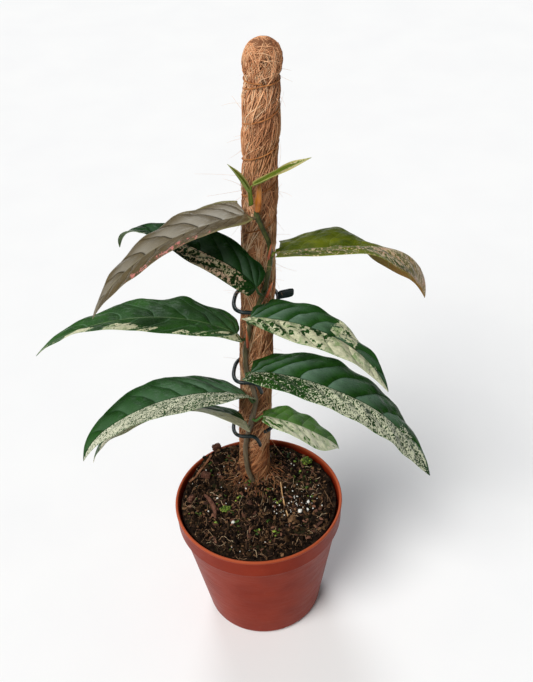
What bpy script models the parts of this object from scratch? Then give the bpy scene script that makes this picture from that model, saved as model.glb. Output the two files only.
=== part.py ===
"""Climbing variegated fig on a coir pole, in a 12 cm nursery pot.

Units metres, +Z up, the pot stands on z = 0 and its axis is x = y = 0.  -Y is the front.
Every piece is one closed body; pieces that touch in life keep a 0.3 mm gap.
"""
import math
import random

import bmesh
import bpy
import numpy as np
from mathutils import Vector

for _o in list(bpy.data.objects):
    bpy.data.objects.remove(_o, do_unlink=True)

MM = 0.001
GAP = 0.30                       # clearance between neighbouring pieces (mm)

# ---- pot (mm) -----------------------------------------------------------------------------
POT_H = 104.0                    # height of the rim plane
RIM_R = 60.0                     # outer radius of the rim: a 12 cm pot
BAND_H = 16.4                    # height of the collar
BODY_TOP_R = 57.0                # outer radius just under the collar
BASE_R = 42.0                    # outer radius of the base
WALL = 1.6
FLOOR_T = 2.0
DRAIN_R, DRAIN_PCD_R, DRAIN_N = 4.0, 29.0, 6

# ---- coir pole (mm) -----------------------------------------------------------------------
POLE_R = 10.4
POLE_X, POLE_Y = -2.7, 22.0      # axis where it crosses the rim plane
POLE_LEAN = 0.0652               # sideways run per unit of height, towards +X
POLE_TOP = 331.0                 # above the rim plane
POLE_BOTTOM = -70.0
THREAD_R = 0.35

# ---- stem ---------------------------------------------------------------------------------
STEM_R = 2.1
STEM_OUT = POLE_R + GAP + STEM_R + 0.15
# (angle round the pole in degrees, height above the rim plane, extra distance out)
STEM_PATH = [(-95, -14, 0), (-95, 0, 0), (-97, 8, 0), (-112, 18, 0), (-121, 34, 0), (-119, 47, 0), (-109, 59, 0),
             (-97, 74, 0), (-92, 84, 0), (-101, 96, 0), (-121, 110, 0), (-126, 126, 0), (-119, 138, 0),
             (-110, 151, 0), (-92, 163, 0), (-74, 174, 0), (-62, 188, 0), (-58, 199, 0.2), (-66, 210, 0.9),
             (-82, 220, 1.1), (-97, 229, 0.9), (-100, 233, 0.8)]

# ---- leaves: hub (x, y, height above rim plane), length, half width, compass heading, sideways turn,
#      pitch along the midrib, roll along it, fold of the two halves, droop of the margins,
#      taper exponent, side away from the viewer (+1 or -1), stem height where the stalk leaves it,
#      how far the base lobe reaches back on the far and on the near side, extra fold of the far lobe
LEAVES = {
    "leaf_bronze_left": ((3.4, 6.5, 232), 115, 22.5, 197, -1, (0, -9, -25, -42, -64), (11, 13, 8, 0), (12, 13, 9, 9), 12, 0.99, -1, 229, 0.6, 0.35, 12),
    "leaf_dark_left": ((8, -2, 185.3), 112, 16.3, 161, -19, (53, 22, 13, -13, -82), (-16, -9, 14, 5), (8, 18, 16, 11), 3, 1.09, -1, 175, 0.9, 0.35, 6),
    "leaf_upper_right": ((19.8, 3.5, 206.8), 126, 31.3, 4, 19, (0, -3, -15, -55, -96), (-32, -18, -20, -1), (5, 19, -22, -56), 24, 1.06, 1, 201, 0.1, 0.15, 25),
    "leaf_middle_left": ((-6.3, 4.9, 145.9), 139, 22.4, 179, 3, (33, 13, -4, -19, -47), (16, 7, 15, 8), (10, 10, 15, 14), 11, 1.01, -1, 138, 0.8, 0.35, 13),
    "leaf_middle_right": ((2.6, -2.3, 164.1), 104, 19.7, -22, -13, (10, -1, -14, -38, -65), (-12, -3, -13, 6), (23, 11, 6, 11), 14, 1.08, 1, 153, 0.3, 0.2, 10),
    "leaf_big_right": ((0.5, -3.7, 120.9), 146, 28.3, -15, -13, (9, -11, -23, -50, -64), (-18, -11, -13, 12), (9, 15, 7, 4), 15, 1.12, 1, 109, 0.3, 0.2, 17),
    "leaf_lower_left": ((-2.2, 3.2, 94.7), 131, 25.2, 189, 6, (27, 5, -14, -32, -72), (31, 13, 8, -14), (8, 10, 17, 17), 11, 1.08, -1, 86, 0.2, 0.2, 8),
    "leaf_back_left": ((-5.4, 4.4, 70.6), 128, 21.5, 183, 5, (44, 13, -10, -38, -74), (24, 35, 12, 5), (-6, 9, 14, 14), 12, 1.05, -1, 62, 0.2, 0.2, 17),
    "leaf_small_right": ((6.9, 2.6, 76.6), 69, 17.1, -7, 36, (-10, -25, -40, -47, -66), (-16, -7, 9, 22), (6, 7, 5, 27), 12, 1.17, 1, 69, 0.3, 0.2, 4),
}
LEAF_T = 0.5                     # blade thickness
PETIOLE_R = 0.95
STEM_CLEAR = 3.1                 # and this far out from the stem's axis
LEAF_CLEAR = POLE_R + 1.9         # a blade keeps this far from the pole's axis

# generic outline of a blade: row position, margin position along the midrib, relative half width
KS = np.array([0.0, 0.03, 0.08, 0.16, 0.28, 0.42, 0.57, 0.72, 0.85, 0.94, 1.0])
KX = np.array([0.0, -0.040, -0.030, 0.075, 0.25, 0.43, 0.60, 0.755, 0.872, 0.95, 1.0])
KY = np.array([0.0, 0.26, 0.60, 0.90, 1.00, 0.96, 0.78, 0.50, 0.24, 0.09, 0.0])

LEAF_ROWS = [0.02, 0.045, 0.08, 0.13, 0.20, 0.28, 0.36, 0.45, 0.54, 0.63, 0.72, 0.80, 0.87, 0.93, 0.97, 0.993]

col = bpy.data.collections.new("potted_fig")
bpy.context.scene.collection.children.link(col)
cut = bpy.data.collections.new("cutters")
bpy.context.scene.collection.children.link(cut)


# ---- helpers ------------------------------------------------------------------------------
def material(name, rgb, rough=0.5, spec=0.5):
    m = bpy.data.materials.get(name)
    if m is None:
        m = bpy.data.materials.new(name)
        m.use_nodes = True
        b = m.node_tree.nodes["Principled BSDF"]
        b.inputs["Base Color"].default_value = (rgb[0], rgb[1], rgb[2], 1.0)
        b.inputs["Roughness"].default_value = rough
        b.inputs["Specular IOR Level"].default_value = spec
    return m


def mesh_object(name, verts, faces, mat, smooth=True, where=None):
    me = bpy.data.meshes.new(name)
    me.from_pydata([tuple(v) for v in verts], [], faces)
    me.update()
    bm = bmesh.new()
    bm.from_mesh(me)
    bmesh.ops.recalc_face_normals(bm, faces=bm.faces)
    bm.to_mesh(me)
    bm.free()
    me.polygons.foreach_set("use_smooth", [smooth] * len(me.polygons))
    o = bpy.data.objects.new(name, me)
    o.data.materials.append(mat)
    (where or col).objects.link(o)
    return o


def loft(name, rings, mat, smooth=True, where=None):
    """closed body through rings of equal point count, flat caps at both ends"""
    n = len(rings[0])
    verts = [p for r in rings for p in r]
    faces = []
    for i in range(len(rings) - 1):
        for j in range(n):
            k = (j + 1) % n
            faces.append((i * n + j, i * n + k, (i + 1) * n + k, (i + 1) * n + j))
    faces.append(tuple(reversed(range(n))))
    last = (len(rings) - 1) * n
    faces.append(tuple(last + j for j in range(n)))
    return mesh_object(name, verts, faces, mat, smooth, where)


def sheet_loft(name, rings, mat, first=0):
    """like loft, for the ten-point rings of a blade: from ring `first` on, the upper and the lower face of
    each panel are cut along the same diagonal, so that the thin walls never cross"""
    n = len(rings[0])
    half = n // 2
    faces = []
    for i in range(len(rings) - 1):
        for j in range(n):
            k = (j + 1) % n
            a, b, c, d = i * n + j, i * n + k, (i + 1) * n + k, (i + 1) * n + j
            upper = j < half - 1
            column = j if upper else n - 2 - j            # panel counted from the + margin
            if i < first:
                faces.append((a, b, c, d))
            elif j in (half - 1, n - 1):
                faces += [(a, b, c), (a, c, d)]
            elif (column < (half - 1) // 2) == upper:
                faces += [(a, b, c), (a, c, d)]
            else:
                faces += [(a, b, d), (b, c, d)]
    faces.append(tuple(reversed(range(n))))
    last = (len(rings) - 1) * n
    faces.append(tuple(last + j for j in range(n)))
    return mesh_object(name, [p for r in rings for p in r], faces, mat)


def lathe(name, profile, mat, seg, where=None):
    """Screw modifier round Z from an open (radius, height) profile that starts and ends on the axis"""
    me = bpy.data.meshes.new(name)
    me.from_pydata([(r * MM, 0.0, z * MM) for r, z in profile], [(i, i + 1) for i in range(len(profile) - 1)], [])
    o = bpy.data.objects.new(name, me)
    (where or col).objects.link(o)
    s = o.modifiers.new("screw", "SCREW")
    s.axis = "Z"
    s.angle = 2 * math.pi
    s.steps = seg
    s.render_steps = seg
    s.use_merge_vertices = True
    s.merge_threshold = 0.00001
    s.use_normal_calculate = True
    dg = bpy.context.evaluated_depsgraph_get()
    new = bpy.data.meshes.new_from_object(o.evaluated_get(dg))
    o.modifiers.clear()
    o.data = new
    bm = bmesh.new()
    bm.from_mesh(new)
    bmesh.ops.remove_doubles(bm, verts=bm.verts, dist=0.000005)
    bmesh.ops.recalc_face_normals(bm, faces=bm.faces)
    bm.to_mesh(new)
    bm.free()
    new.polygons.foreach_set("use_smooth", [True] * len(new.polygons))
    o.data.materials.clear()
    o.data.materials.append(mat)
    return o


def boolean(o, cutter, op="DIFFERENCE"):
    m = o.modifiers.new("bool", "BOOLEAN")
    m.operation = op
    m.solver = "EXACT"
    m.object = cutter
    cutter.hide_render = True
    cutter.display_type = "WIRE"
    dg = bpy.context.evaluated_depsgraph_get()
    new = bpy.data.meshes.new_from_object(o.evaluated_get(dg))
    o.modifiers.clear()
    old = o.data
    o.data = new
    bpy.data.meshes.remove(old)
    bpy.data.objects.remove(cutter, do_unlink=True)


def catmull(pts, per):
    pts = [np.array(p, float) for p in pts]
    ext = [2 * pts[0] - pts[1]] + pts + [2 * pts[-1] - pts[-2]]
    out = []
    for i in range(1, len(ext) - 2):
        p0, p1, p2, p3 = ext[i - 1], ext[i], ext[i + 1], ext[i + 2]
        for k in range(per):
            t = k / per
            out.append(0.5 * ((2 * p1) + (-p0 + p2) * t + (2 * p0 - 5 * p1 + 4 * p2 - p3) * t * t
                              + (-p0 + 3 * p1 - 3 * p2 + p3) * t ** 3))
    out.append(pts[-1])
    return np.array(out)


def tube_rings(path, radii, n, squash=1.0):
    """rings round a path with a carried frame; path in mm, result in metres"""
    path = np.asarray(path, float)
    tan = np.gradient(path, axis=0)
    tan /= np.linalg.norm(tan, axis=1)[:, None]
    up = np.array([0.0, 0.0, 1.0]) if abs(tan[0][2]) < 0.9 else np.array([0.0, 1.0, 0.0])
    a = np.cross(tan[0], up)
    a /= np.linalg.norm(a)
    rings = []
    for p, t, r in zip(path, tan, radii):
        a = a - t * np.dot(a, t)
        a /= np.linalg.norm(a)
        b = np.cross(t, a)
        rings.append([(p + (a * math.cos(2 * math.pi * j / n) + b * math.sin(2 * math.pi * j / n) * squash) * r) * MM
                      for j in range(n)])
    return rings


def pole_point(x, y, h):
    """point given relative to the pole axis at height h above the rim plane (mm)"""
    return np.array([POLE_X + POLE_LEAN * h + x, POLE_Y + y, POT_H + h])


def pchip(x, y, q):
    h = np.diff(x)
    d = np.diff(y) / h
    m = np.zeros_like(y)
    for i in range(1, len(x) - 1):
        if d[i - 1] * d[i] > 0:
            w1 = 2 * h[i] + h[i - 1]
            w2 = h[i] + 2 * h[i - 1]
            m[i] = (w1 + w2) / (w1 / d[i - 1] + w2 / d[i])
    m[0], m[-1] = d[0], d[-1]
    i = np.clip(np.searchsorted(x, q) - 1, 0, len(x) - 2)
    t = (q - x[i]) / h[i]
    return ((2 * t ** 3 - 3 * t ** 2 + 1) * y[i] + (t ** 3 - 2 * t ** 2 + t) * h[i] * m[i]
            + (-2 * t ** 3 + 3 * t ** 2) * y[i + 1] + (t ** 3 - t ** 2) * h[i] * m[i + 1])


def along(vals, q):
    return pchip(np.linspace(0, 1, len(vals)), np.asarray(vals, float), np.clip(q, 0, 1))


class Leaf:
    """midrib frame and blade surface of one leaf, in mm"""

    def __init__(self, spec):
        (hub, self.L, self.W, az, turn, self.pitch, self.roll, self.fold, self.curl, self.pw, self.far, self.node, self.lf, self.ln, self.ef) = spec
        self.hub = np.array([hub[0], hub[1], POT_H + hub[2]], float)
        n = 61
        t = np.linspace(0, 1, n)
        th = np.radians(along(self.pitch, t))
        ph = np.radians(az + turn * t ** 1.5)
        T = np.stack([np.cos(th) * np.cos(ph), np.cos(th) * np.sin(ph), np.sin(th)], -1)
        S = np.stack([-np.sin(ph), np.cos(ph), 0 * ph], -1)
        N = np.cross(T, S)
        ro = np.radians(along(self.roll, t))[:, None]
        self.t, self.T = t, T
        self.S = S * np.cos(ro) + N * np.sin(ro)
        self.N = N * np.cos(ro) - S * np.sin(ro)
        M = np.zeros((n, 3))
        M[1:] = np.cumsum((T[1:] + T[:-1]) / 2, 0) * (t[1] - t[0]) * self.L
        self.M = M + self.hub

    def at(self, x):
        q = np.clip(x, 0, 1)
        f = lambda a: np.stack([np.interp(q, self.t, a[:, k]) for k in range(3)], -1)
        T = f(self.T)
        return f(self.M) + T * ((x - q) * self.L)[..., None], T, f(self.S), f(self.N)

    def blade(self, s, v, side):
        X = pchip(KS, KX, s)
        Y = pchip(KS, KY, s ** self.pw)
        lobe = self.lf if side == self.far else self.ln
        d = np.where(X < s, (X - s) * (1 + (lobe - 1) * np.clip(1 - s / 0.10, 0, 1)), X - s)
        d = np.maximum(d, -1.1 * Y * self.W / self.L)
        x = s + d * v
        y = Y * v * self.W
        m, T, S, N = self.at(x)
        q = np.clip(x, 0, 1)
        a = np.radians(along(self.fold, q)) - np.radians(self.curl) * v * 0.5
        if side == self.far:
            a = a + np.radians(self.ef) * np.exp(-q / 0.13)
        p = m + S * (side * y * np.cos(a))[..., None] + N * (y * np.sin(a))[..., None]
        # the base of a blade bends round the pole
        ax = POLE_X + POLE_LEAN * (p[..., 2] - POT_H)
        dx, dy = p[..., 0] - ax, p[..., 1] - POLE_Y
        dd = np.hypot(dx, dy)
        nd = LEAF_CLEAR + 0.6 * np.logaddexp(0, (dd - LEAF_CLEAR) / 0.6)
        p[..., 0] = ax + dx * nd / dd
        p[..., 1] = POLE_Y + dy * nd / dd
        # and lies in front of the stem
        z = p[..., 2]
        cx, cy = np.interp(z, stem_path[:, 2], stem_path[:, 0]), np.interp(z, stem_path[:, 2], stem_path[:, 1])
        ax = POLE_X + POLE_LEAN * (z - POT_H)
        nx, ny = cx - ax, cy - POLE_Y
        k = np.hypot(nx, ny)
        nx, ny = nx / k, ny / k
        a = (p[..., 0] - cx) * nx + (p[..., 1] - cy) * ny
        b = -(p[..., 0] - cx) * ny + (p[..., 1] - cy) * nx
        req = STEM_CLEAR - 1.4 * np.maximum(0, abs(b) - 4.5)
        push = np.where((req > -8.0) & (z < POT_H + 238), req + 0.5 * np.logaddexp(0, (a - req) / 0.5) - a, 0.0)
        p[..., 0] += nx * push
        p[..., 1] += ny * push
        return p


# ---- materials ----------------------------------------------------------------------------
M_POT = material("pot_plastic", (0.42, 0.10, 0.045), 0.38)
M_SOIL = material("soil", (0.035, 0.022, 0.015), 0.95, 0.2)
M_COIR = material("coir", (0.40, 0.21, 0.11), 0.9, 0.2)
M_THREAD = material("thread", (0.38, 0.17, 0.06), 0.7)
M_CLIP = material("clip_plastic", (0.012, 0.028, 0.028), 0.4)
M_STEM = material("stem", (0.12, 0.12, 0.05), 0.6)
M_LEAF = material("leaf", (0.035, 0.10, 0.03), 0.35)
M_BRONZE = material("young_leaf", (0.22, 0.19, 0.13), 0.4)
M_FRESH = material("fresh_leaf", (0.25, 0.33, 0.07), 0.45)
M_SHEATH = material("sheath", (0.50, 0.17, 0.03), 0.5)
M_BARK = material("bark", (0.16, 0.085, 0.05), 0.85, 0.2)
M_STRAW = material("straw", (0.48, 0.27, 0.12), 0.7)
M_PERLITE = material("perlite", (0.80, 0.78, 0.72), 0.9, 0.2)
M_MOSS = material("moss", (0.12, 0.22, 0.03), 0.8, 0.2)

# ---- pot ----------------------------------------------------------------------------------
zb = POT_H - BAND_H
inner_top = RIM_R - 2.0


def body_r(z):
    return BASE_R + (BODY_TOP_R - BASE_R) * min(z, zb) / zb


pot_profile = [(0.0, POT_H * 0 + FLOOR_T), (body_r(FLOOR_T) - WALL, FLOOR_T), (body_r(zb) - WALL, zb),
               (RIM_R - 3.4, zb + 1.4), (inner_top, POT_H - 0.8), (RIM_R - 1.5, POT_H - 0.1), (RIM_R - 0.6, POT_H),
               (RIM_R, POT_H - 0.7), (RIM_R - 0.7, zb + 0.8), (RIM_R - 1.2, zb), (body_r(zb), zb - 0.6),
               (body_r(2.0), 2.0), (BASE_R - 1.5, 0.0), (0.0, 0.0)]
pot = lathe("pot", pot_profile, M_POT, 48)
holes = []
for i in range(DRAIN_N):
    a = 2 * math.pi * (i + 0.5) / DRAIN_N
    cx, cy = DRAIN_PCD_R * math.cos(a), DRAIN_PCD_R * math.sin(a)
    ring = [[((cx + DRAIN_R * math.cos(2 * math.pi * j / 12)) * MM, (cy + DRAIN_R * math.sin(2 * math.pi * j / 12)) * MM, z * MM)
             for j in range(12)] for z in (-2.0, FLOOR_T + 2.0)]
    boolean(pot, loft("drain", ring, M_POT, where=cut))


# ---- soil: fills the pot, heaped round the pole and towards the back left -------------------
def soil_h(x, y):
    """height above the rim plane (mm)"""
    h = -4.2
    h += 12.0 * math.exp(-((x + 2.5) ** 2 + (y - 20) ** 2) / (2 * 17.0 ** 2))
    h += 8.5 * math.exp(-((x + 27) ** 2 + (y - 37) ** 2) / (2 * 12.0 ** 2))
    h += 0.55 * math.sin(0.31 * x + 0.4) * math.cos(0.27 * y - 0.8) + 0.35 * math.sin(0.55 * y + 0.2 * x)
    return h


SEG = 40
soil_rings = []
for z, r in ((FLOOR_T + GAP, body_r(FLOOR_T) - WALL - GAP - 0.1), (zb - 1.0, body_r(zb) - WALL - GAP - 0.2),
             (zb + 2.0, RIM_R - 3.4 - GAP - 0.35)):
    soil_rings.append([(r * math.cos(2 * math.pi * j / SEG) * MM, r * math.sin(2 * math.pi * j / SEG) * MM, z * MM)
                       for j in range(SEG)])
for r in (55.8, 55.0, 51.0, 46.0, 40.0, 33.5, 27.0, 20.0, 13.0, 6.0):
    ring = []
    for j in range(SEG):
        a = 2 * math.pi * j / SEG
        x, y = r * math.cos(a), r * math.sin(a)
        drop = 1.0 if r > 55.5 else 0.0
        ring.append((x * MM, y * MM, (POT_H + soil_h(x, y) - drop) * MM))
    soil_rings.append(ring)
soil = loft("soil", soil_rings, M_SOIL)

# ---- coir pole ----------------------------------------------------------------------------
POLE_PROFILE = [(0.0, POLE_BOTTOM), (9.4, POLE_BOTTOM), (10.2, POLE_BOTTOM + 2), (POLE_R, POLE_BOTTOM + 10),
                (POLE_R, 20), (POLE_R, 110), (POLE_R, 200), (POLE_R, 290), (10.3, 302), (10.0, 306), (10.0, 310),
                (10.7, 314), (10.9, 319), (10.2, 324), (8.4, 328), (5.4, 330.3), (2.2, POLE_TOP), (0.0, POLE_TOP + 0.2)]


def pole_rings(extra, seg, hi=None):
    out = []
    for r, z in POLE_PROFILE:
        if hi is not None and z > hi:
            z = hi
        rr = max(r, 0.0) + extra
        out.append([pole_point(rr * math.cos(2 * math.pi * j / seg), rr * math.sin(2 * math.pi * j / seg), z) * MM
                    for j in range(seg)])
    return out


rings = pole_rings(0.0, 28)[1:-1]
pole = loft("coir_pole", rings, M_COIR)
cut_rings = []
for z, r in ((POLE_BOTTOM - GAP, 9.4 + GAP), (POLE_BOTTOM + 2, 10.2 + GAP + 0.1), (POLE_BOTTOM + 10, POLE_R + GAP + 0.1),
             (40.0, POLE_R + GAP + 0.1)):
    cut_rings.append([pole_point(r * math.cos(2 * math.pi * j / 28), r * math.sin(2 * math.pi * j / 28), z) * MM
                      for j in range(28)])
boolean(soil, loft("pole_hole", cut_rings, M_SOIL, where=cut))

# ---- binding thread: one nearly level turn at the head, then a coarse spiral down ---------
path = []
TURN_SEG = 18
u = -1.0
while u <= 4.25 + 1e-6:
    h = 308.0 - 1.2 * u if u < 0 else 308.0 - 19.6 * u - 0.75 * u * u
    base = 10.05 if h > 305 else (10.05 + (POLE_R - 10.05) * min(1.0, (305 - h) / 4.0))
    R = base / math.cos(math.pi / 28) + GAP + THREAD_R + 0.08
    a = math.radians(-90.0) - 2 * math.pi * u
    path.append(pole_point(R * math.cos(a), R * math.sin(a), h))
    u += 1.0 / TURN_SEG
loft("binding_thread", tube_rings(path, [THREAD_R] * len(path), 5), M_THREAD)

# ---- stem ---------------------------------------------------------------------------------
stem_ctrl = [pole_point((STEM_OUT + e) * math.cos(math.radians(a)), (STEM_OUT + e) * math.sin(math.radians(a)), h)
             for a, h, e in STEM_PATH]
stem_path = catmull(stem_ctrl, 2)
# keep the smoothed line clear of the pole
for p in stem_path:
    h = p[2] - POT_H
    ax = pole_point(0, 0, h)
    d = p[:2] - ax[:2]
    k = np.linalg.norm(d)
    if k < STEM_OUT:
        p[:2] = ax[:2] + d / k * STEM_OUT
stem_r = [STEM_R * (1.0 - 0.18 * i / (len(stem_path) - 1)) for i in range(len(stem_path))]
stem_r[-1] *= 0.75
loft("main_stem", tube_rings(stem_path, stem_r, 8), M_STEM)
boolean(soil, loft("stem_hole", tube_rings([stem_path[0] * 2 - stem_path[1]] + list(stem_path[:14]), [STEM_R + GAP + 0.12] * 15, 8), M_SOIL, where=cut))


def stem_at(h):
    z = POT_H + h
    i = int(np.argmin(abs(stem_path[:, 2] - z)))
    i = min(max(i, 1), len(stem_path) - 2)
    j = i + 1 if stem_path[i][2] < z else i - 1
    t = (z - stem_path[i][2]) / (stem_path[j][2] - stem_path[i][2])
    return stem_path[i] + (stem_path[j] - stem_path[i]) * np.clip(t, 0, 1)


# ---- leaves -------------------------------------------------------------------------------
def bezier(p0, p1, p2, p3, n):
    t = np.linspace(0, 1, n)[:, None]
    return (1 - t) ** 3 * p0 + 3 * (1 - t) ** 2 * t * p1 + 3 * (1 - t) * t * t * p2 + t ** 3 * p3


def align(rings, lf):
    """start every ring of a stalk at the +side of the blade and run it over the top"""
    last = [np.array(p) for p in rings[-1]]
    n = len(last)
    cen = sum(last) / n
    k = max(range(n), key=lambda j: np.dot(last[j] - cen, lf.S[0]))
    flip = np.dot(last[(k + 2) % n] - cen, lf.N[0]) < 0
    out = []
    for r in rings:
        r = list(r[k:]) + list(r[:k])
        out.append([r[0]] + r[:0:-1] if flip else r)
    return out


def leaf_object(name, spec, mat, petiole=True):
    lf = Leaf(spec)
    V = [1.0, 0.5, 0.0, 0.5, 1.0]
    SIDE = [1, 1, 1, -1, -1]
    rings = []
    if petiole:
        c = stem_at(lf.node)
        ax = pole_point(0, 0, lf.node)
        out = np.array([c[0] - ax[0], c[1] - ax[1], 0.0])
        out /= np.linalg.norm(out)
        d = lf.hub - c
        d[2] = 0.0
        d = d / np.linalg.norm(d) + out * 0.7
        d /= np.linalg.norm(d)
        start = c + d * (STEM_R + GAP + 0.35)
        hub = lf.blade(np.array([0.0]), np.array([0.0]), 1)[0]
        reach = np.linalg.norm(hub - start)
        back = hub - lf.T[0] * 0.3
        pts = bezier(start, start + d * reach * 0.40, back - (lf.T[0] * 0.75 + lf.N[0] * 0.65) * reach * 0.33, back, 6)
        rings += [r for r in tube_rings(pts, [PETIOLE_R * k for k in (1.0, 0.97, 0.94, 0.9, 0.8, 0.55)], 10)]
        rings = align(rings, lf)
    stalk = len(rings)
    for s in LEAF_ROWS:
        top, bot = [], []
        for v, sd in zip(V, SIDE):
            p = lf.blade(np.array([s]), np.array([v]), sd)[0]
            _, _, S, N = lf.at(np.array([s]))
            q = np.array([s])
            t = math.radians(float(along(lf.fold, q)[0]) - lf.curl * v * 0.5)
            if sd == lf.far:
                t += math.radians(lf.ef) * math.exp(-s / 0.13)
            n = N[0] if v == 0.0 else N[0] * math.cos(t) - S[0] * sd * math.sin(t)
            wide = float(pchip(KS, KY, np.array([s ** lf.pw]))[0]) * lf.W
            fold = abs(math.radians(float(along(lf.fold, np.array([s]))[0])))
            half = min(LEAF_T / 2, 0.05 + 0.20 * wide * math.cos(fold))
            rib = 0.0
            if v == 0.0:
                rib = 0.75 * (1 - s) ** 0.8 * math.cos(fold) ** 2
            top.append((p + n * half) * MM)
            bot.append((p - n * (half + rib)) * MM)
        rings.append([top[0], top[1], top[2], top[3], top[4], bot[4], bot[3], bot[2], bot[1], bot[0]])
    return sheet_loft(name, rings, mat, stalk)


for name, spec in LEAVES.items():
    mat = M_BRONZE if name == "leaf_bronze_left" else M_LEAF
    leaf_object(name, spec, mat)

# the two youngest leaves stand on short stalks beside the bud
YOUNG = {
    "young_leaf_left": ((6.2, 7.0, 246.6), 21.0, 3.4, 172, 0, (66, 62, 58, 55, 52), (0, 0, 0, 0), (45, 40, 35, 30), 5, 1.0, -1, 0.0, 0.3, 0.3, 0, (7.0, 7.4, 237.4)),
    "young_leaf_right": ((9.1, 3.6, 252.6), 37.5, 5.4, -6, 10, (22, 30, 26, 24, 22), (-10, -12, -5, 0), (35, 25, 25, 20), 5, 1.1, 1, 0.0, 0.3, 0.3, 0, (8.0, 3.4, 240.2)),
}
for name, spec in YOUNG.items():
    lf = Leaf(spec[:15])
    foot = np.array([spec[15][0], spec[15][1], POT_H + spec[15][2]])
    V = [1.0, 0.5, 0.0, 0.5, 1.0]
    SIDE = [1, 1, 1, -1, -1]
    back = lf.hub - lf.T[0] * 0.3
    pts = bezier(foot, foot + (lf.hub - foot) * 0.4, back - lf.T[0] * 2.5, back, 4)
    rr = align(tube_rings(pts, [0.8, 0.75, 0.7, 0.55], 10), lf)
    for s in (0.03, 0.08, 0.16, 0.28, 0.42, 0.58, 0.74, 0.87, 0.95, 0.99):
        N = lf.at(np.array([s]))[3][0]
        top, bot = [], []
        for v, sd in zip(V, SIDE):
            p = lf.blade(np.array([s]), np.array([v]), sd)[0]
            top.append((p + N * 0.25) * MM)
            bot.append((p - N * (0.25 + (0.3 * (1 - s) if v == 0.0 else 0.0))) * MM)
        rr.append(top + bot[::-1])
    sheet_loft(name, rr, M_FRESH, 4)


# ---- bud sheath and stipules: narrow pointed scales beside the nodes ----------------------
def scale_piece(name, a, b, width, bulge, mat):
    """pointed scale from foot a to tip b (points in mm), slightly bowed away from the pole"""
    a, b = np.array(a, float), np.array(b, float)
    pts, rad = [], []
    for i in range(8):
        t = i / 7
        p = a + (b - a) * t
        p = p + np.array([0, -bulge * math.sin(math.pi * t), 0])
        pts.append(p)
        rad.append(width * (0.45 + 0.55 * math.sin(math.pi * min(1.0, 0.12 + t * 0.75)) if t < 0.9 else 0.12 + (1 - t) * 2.5) * (1 - 0.55 * t))
    rad[-1] = width * 0.10
    return loft(name, tube_rings(pts, rad, 7), mat)


scale_piece("bud_sheath", pole_point(-1.2, -13.9, 235.4), pole_point(-0.4, -14.2, 251.5), 2.3, 0.4, M_SHEATH)
scale_piece("stipule_upper", pole_point(5.6, -15.4, 200.0), pole_point(7.2, -15.6, 211.5), 1.1, 0.3, M_SHEATH)
scale_piece("stipule_middle", pole_point(4.9, -16.0, 172.3), pole_point(9.0, -13.9, 183.0), 1.2, 0.3, M_SHEATH)
scale_piece("stipule_lower", pole_point(-6.2, -16.9, 134.0), pole_point(-7.4, -18.3, 150.5), 1.2, 0.2, M_SHEATH)


# ---- plant clips: an open plastic loop round pole and stem, with a thumb tab on the right ---
def clip(name, h, turn=0.0, tilt=0.0):
    f = -(STEM_OUT + STEM_R + GAP + 1.45)          # line of the front bar
    ctrl = [(3.4, f - 0.6, -9.5), (2.6, f - 0.9, -6.0), (0.8, f - 0.8, -2.2), (-1.8, f - 0.3, -0.3), (-6.0, f, 0.0),
            (-10.6, f + 0.6, 0.0), (-14.0, f + 3.6, 0.0), (-15.2, f + 9.0, 0.0), (-14.4, 0.0, 0.0), (-12.6, 5.5, 0.0),
            (-8.4, 10.4, 0.0), (-2.5, 13.0, 0.0), (4.0, 12.7, 0.0), (9.6, 9.2, 0.0), (12.7, 3.6, 0.0),
            (13.0, -3.0, 0.3), (11.4, -9.4, 1.2), (8.4, -14.2, 2.4), (5.6, f - 0.2, 3.6)]
    pts = []
    ct, st = math.cos(math.radians(turn)), math.sin(math.radians(turn))
    for p in catmull(ctrl, 2):
        x, y = p[0] * ct - p[1] * st, p[0] * st + p[1] * ct
        pts.append(pole_point(x, y, h + p[2] + tilt * x))
    rings = tube_rings(pts, [1.3] * len(pts), 6)
    o = loft(name, rings, M_CLIP)
    # thumb tab: a flat rounded plate standing out to the right
    tab = []
    for x, hz, hy in ((12.9, 1.0, 0.7), (14.2, 2.3, 0.8), (20.5, 2.7, 0.75), (22.6, 2.3, 0.7), (23.3, 1.4, 0.6)):
        yy = 1.5 + (x - 12.9) * 0.10
        zz = (x - 12.9) * 0.16
        ring = []
        for j in range(8):
            a = 2 * math.pi * (j + 0.5) / 8
            sx = math.copysign(abs(math.cos(a)) ** 0.6, math.cos(a)) * hy
            sz = math.copysign(abs(math.sin(a)) ** 0.6, math.sin(a)) * hz
            X, Y = x, yy + sx
            ring.append(pole_point(X * ct - Y * st, X * st + Y * ct, h + zz + sz + tilt * X) * MM)
        tab.append(ring)
    boolean(o, loft("tab", tab, M_CLIP, where=cut), "UNION")
    return o


clip("clip_upper", 161.5, 0.0, -0.06)
clip("clip_middle", 104.0, 0.0, -0.02)
clip("clip_lower", 55.5, 0.0, -0.02)


# ---- what lies on the soil -----------------------------------------------------------------
def lay(pts, r):
    """lift a line of (x, y) points so that it just clears the soil"""
    top = 0.0
    for x, y in pts:
        for dx, dy in ((0, 0), (r, 0), (-r, 0), (0, r), (0, -r)):
            top = max(top, soil_h(x + dx, y + dy) + 20)
    return top - 20


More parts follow.
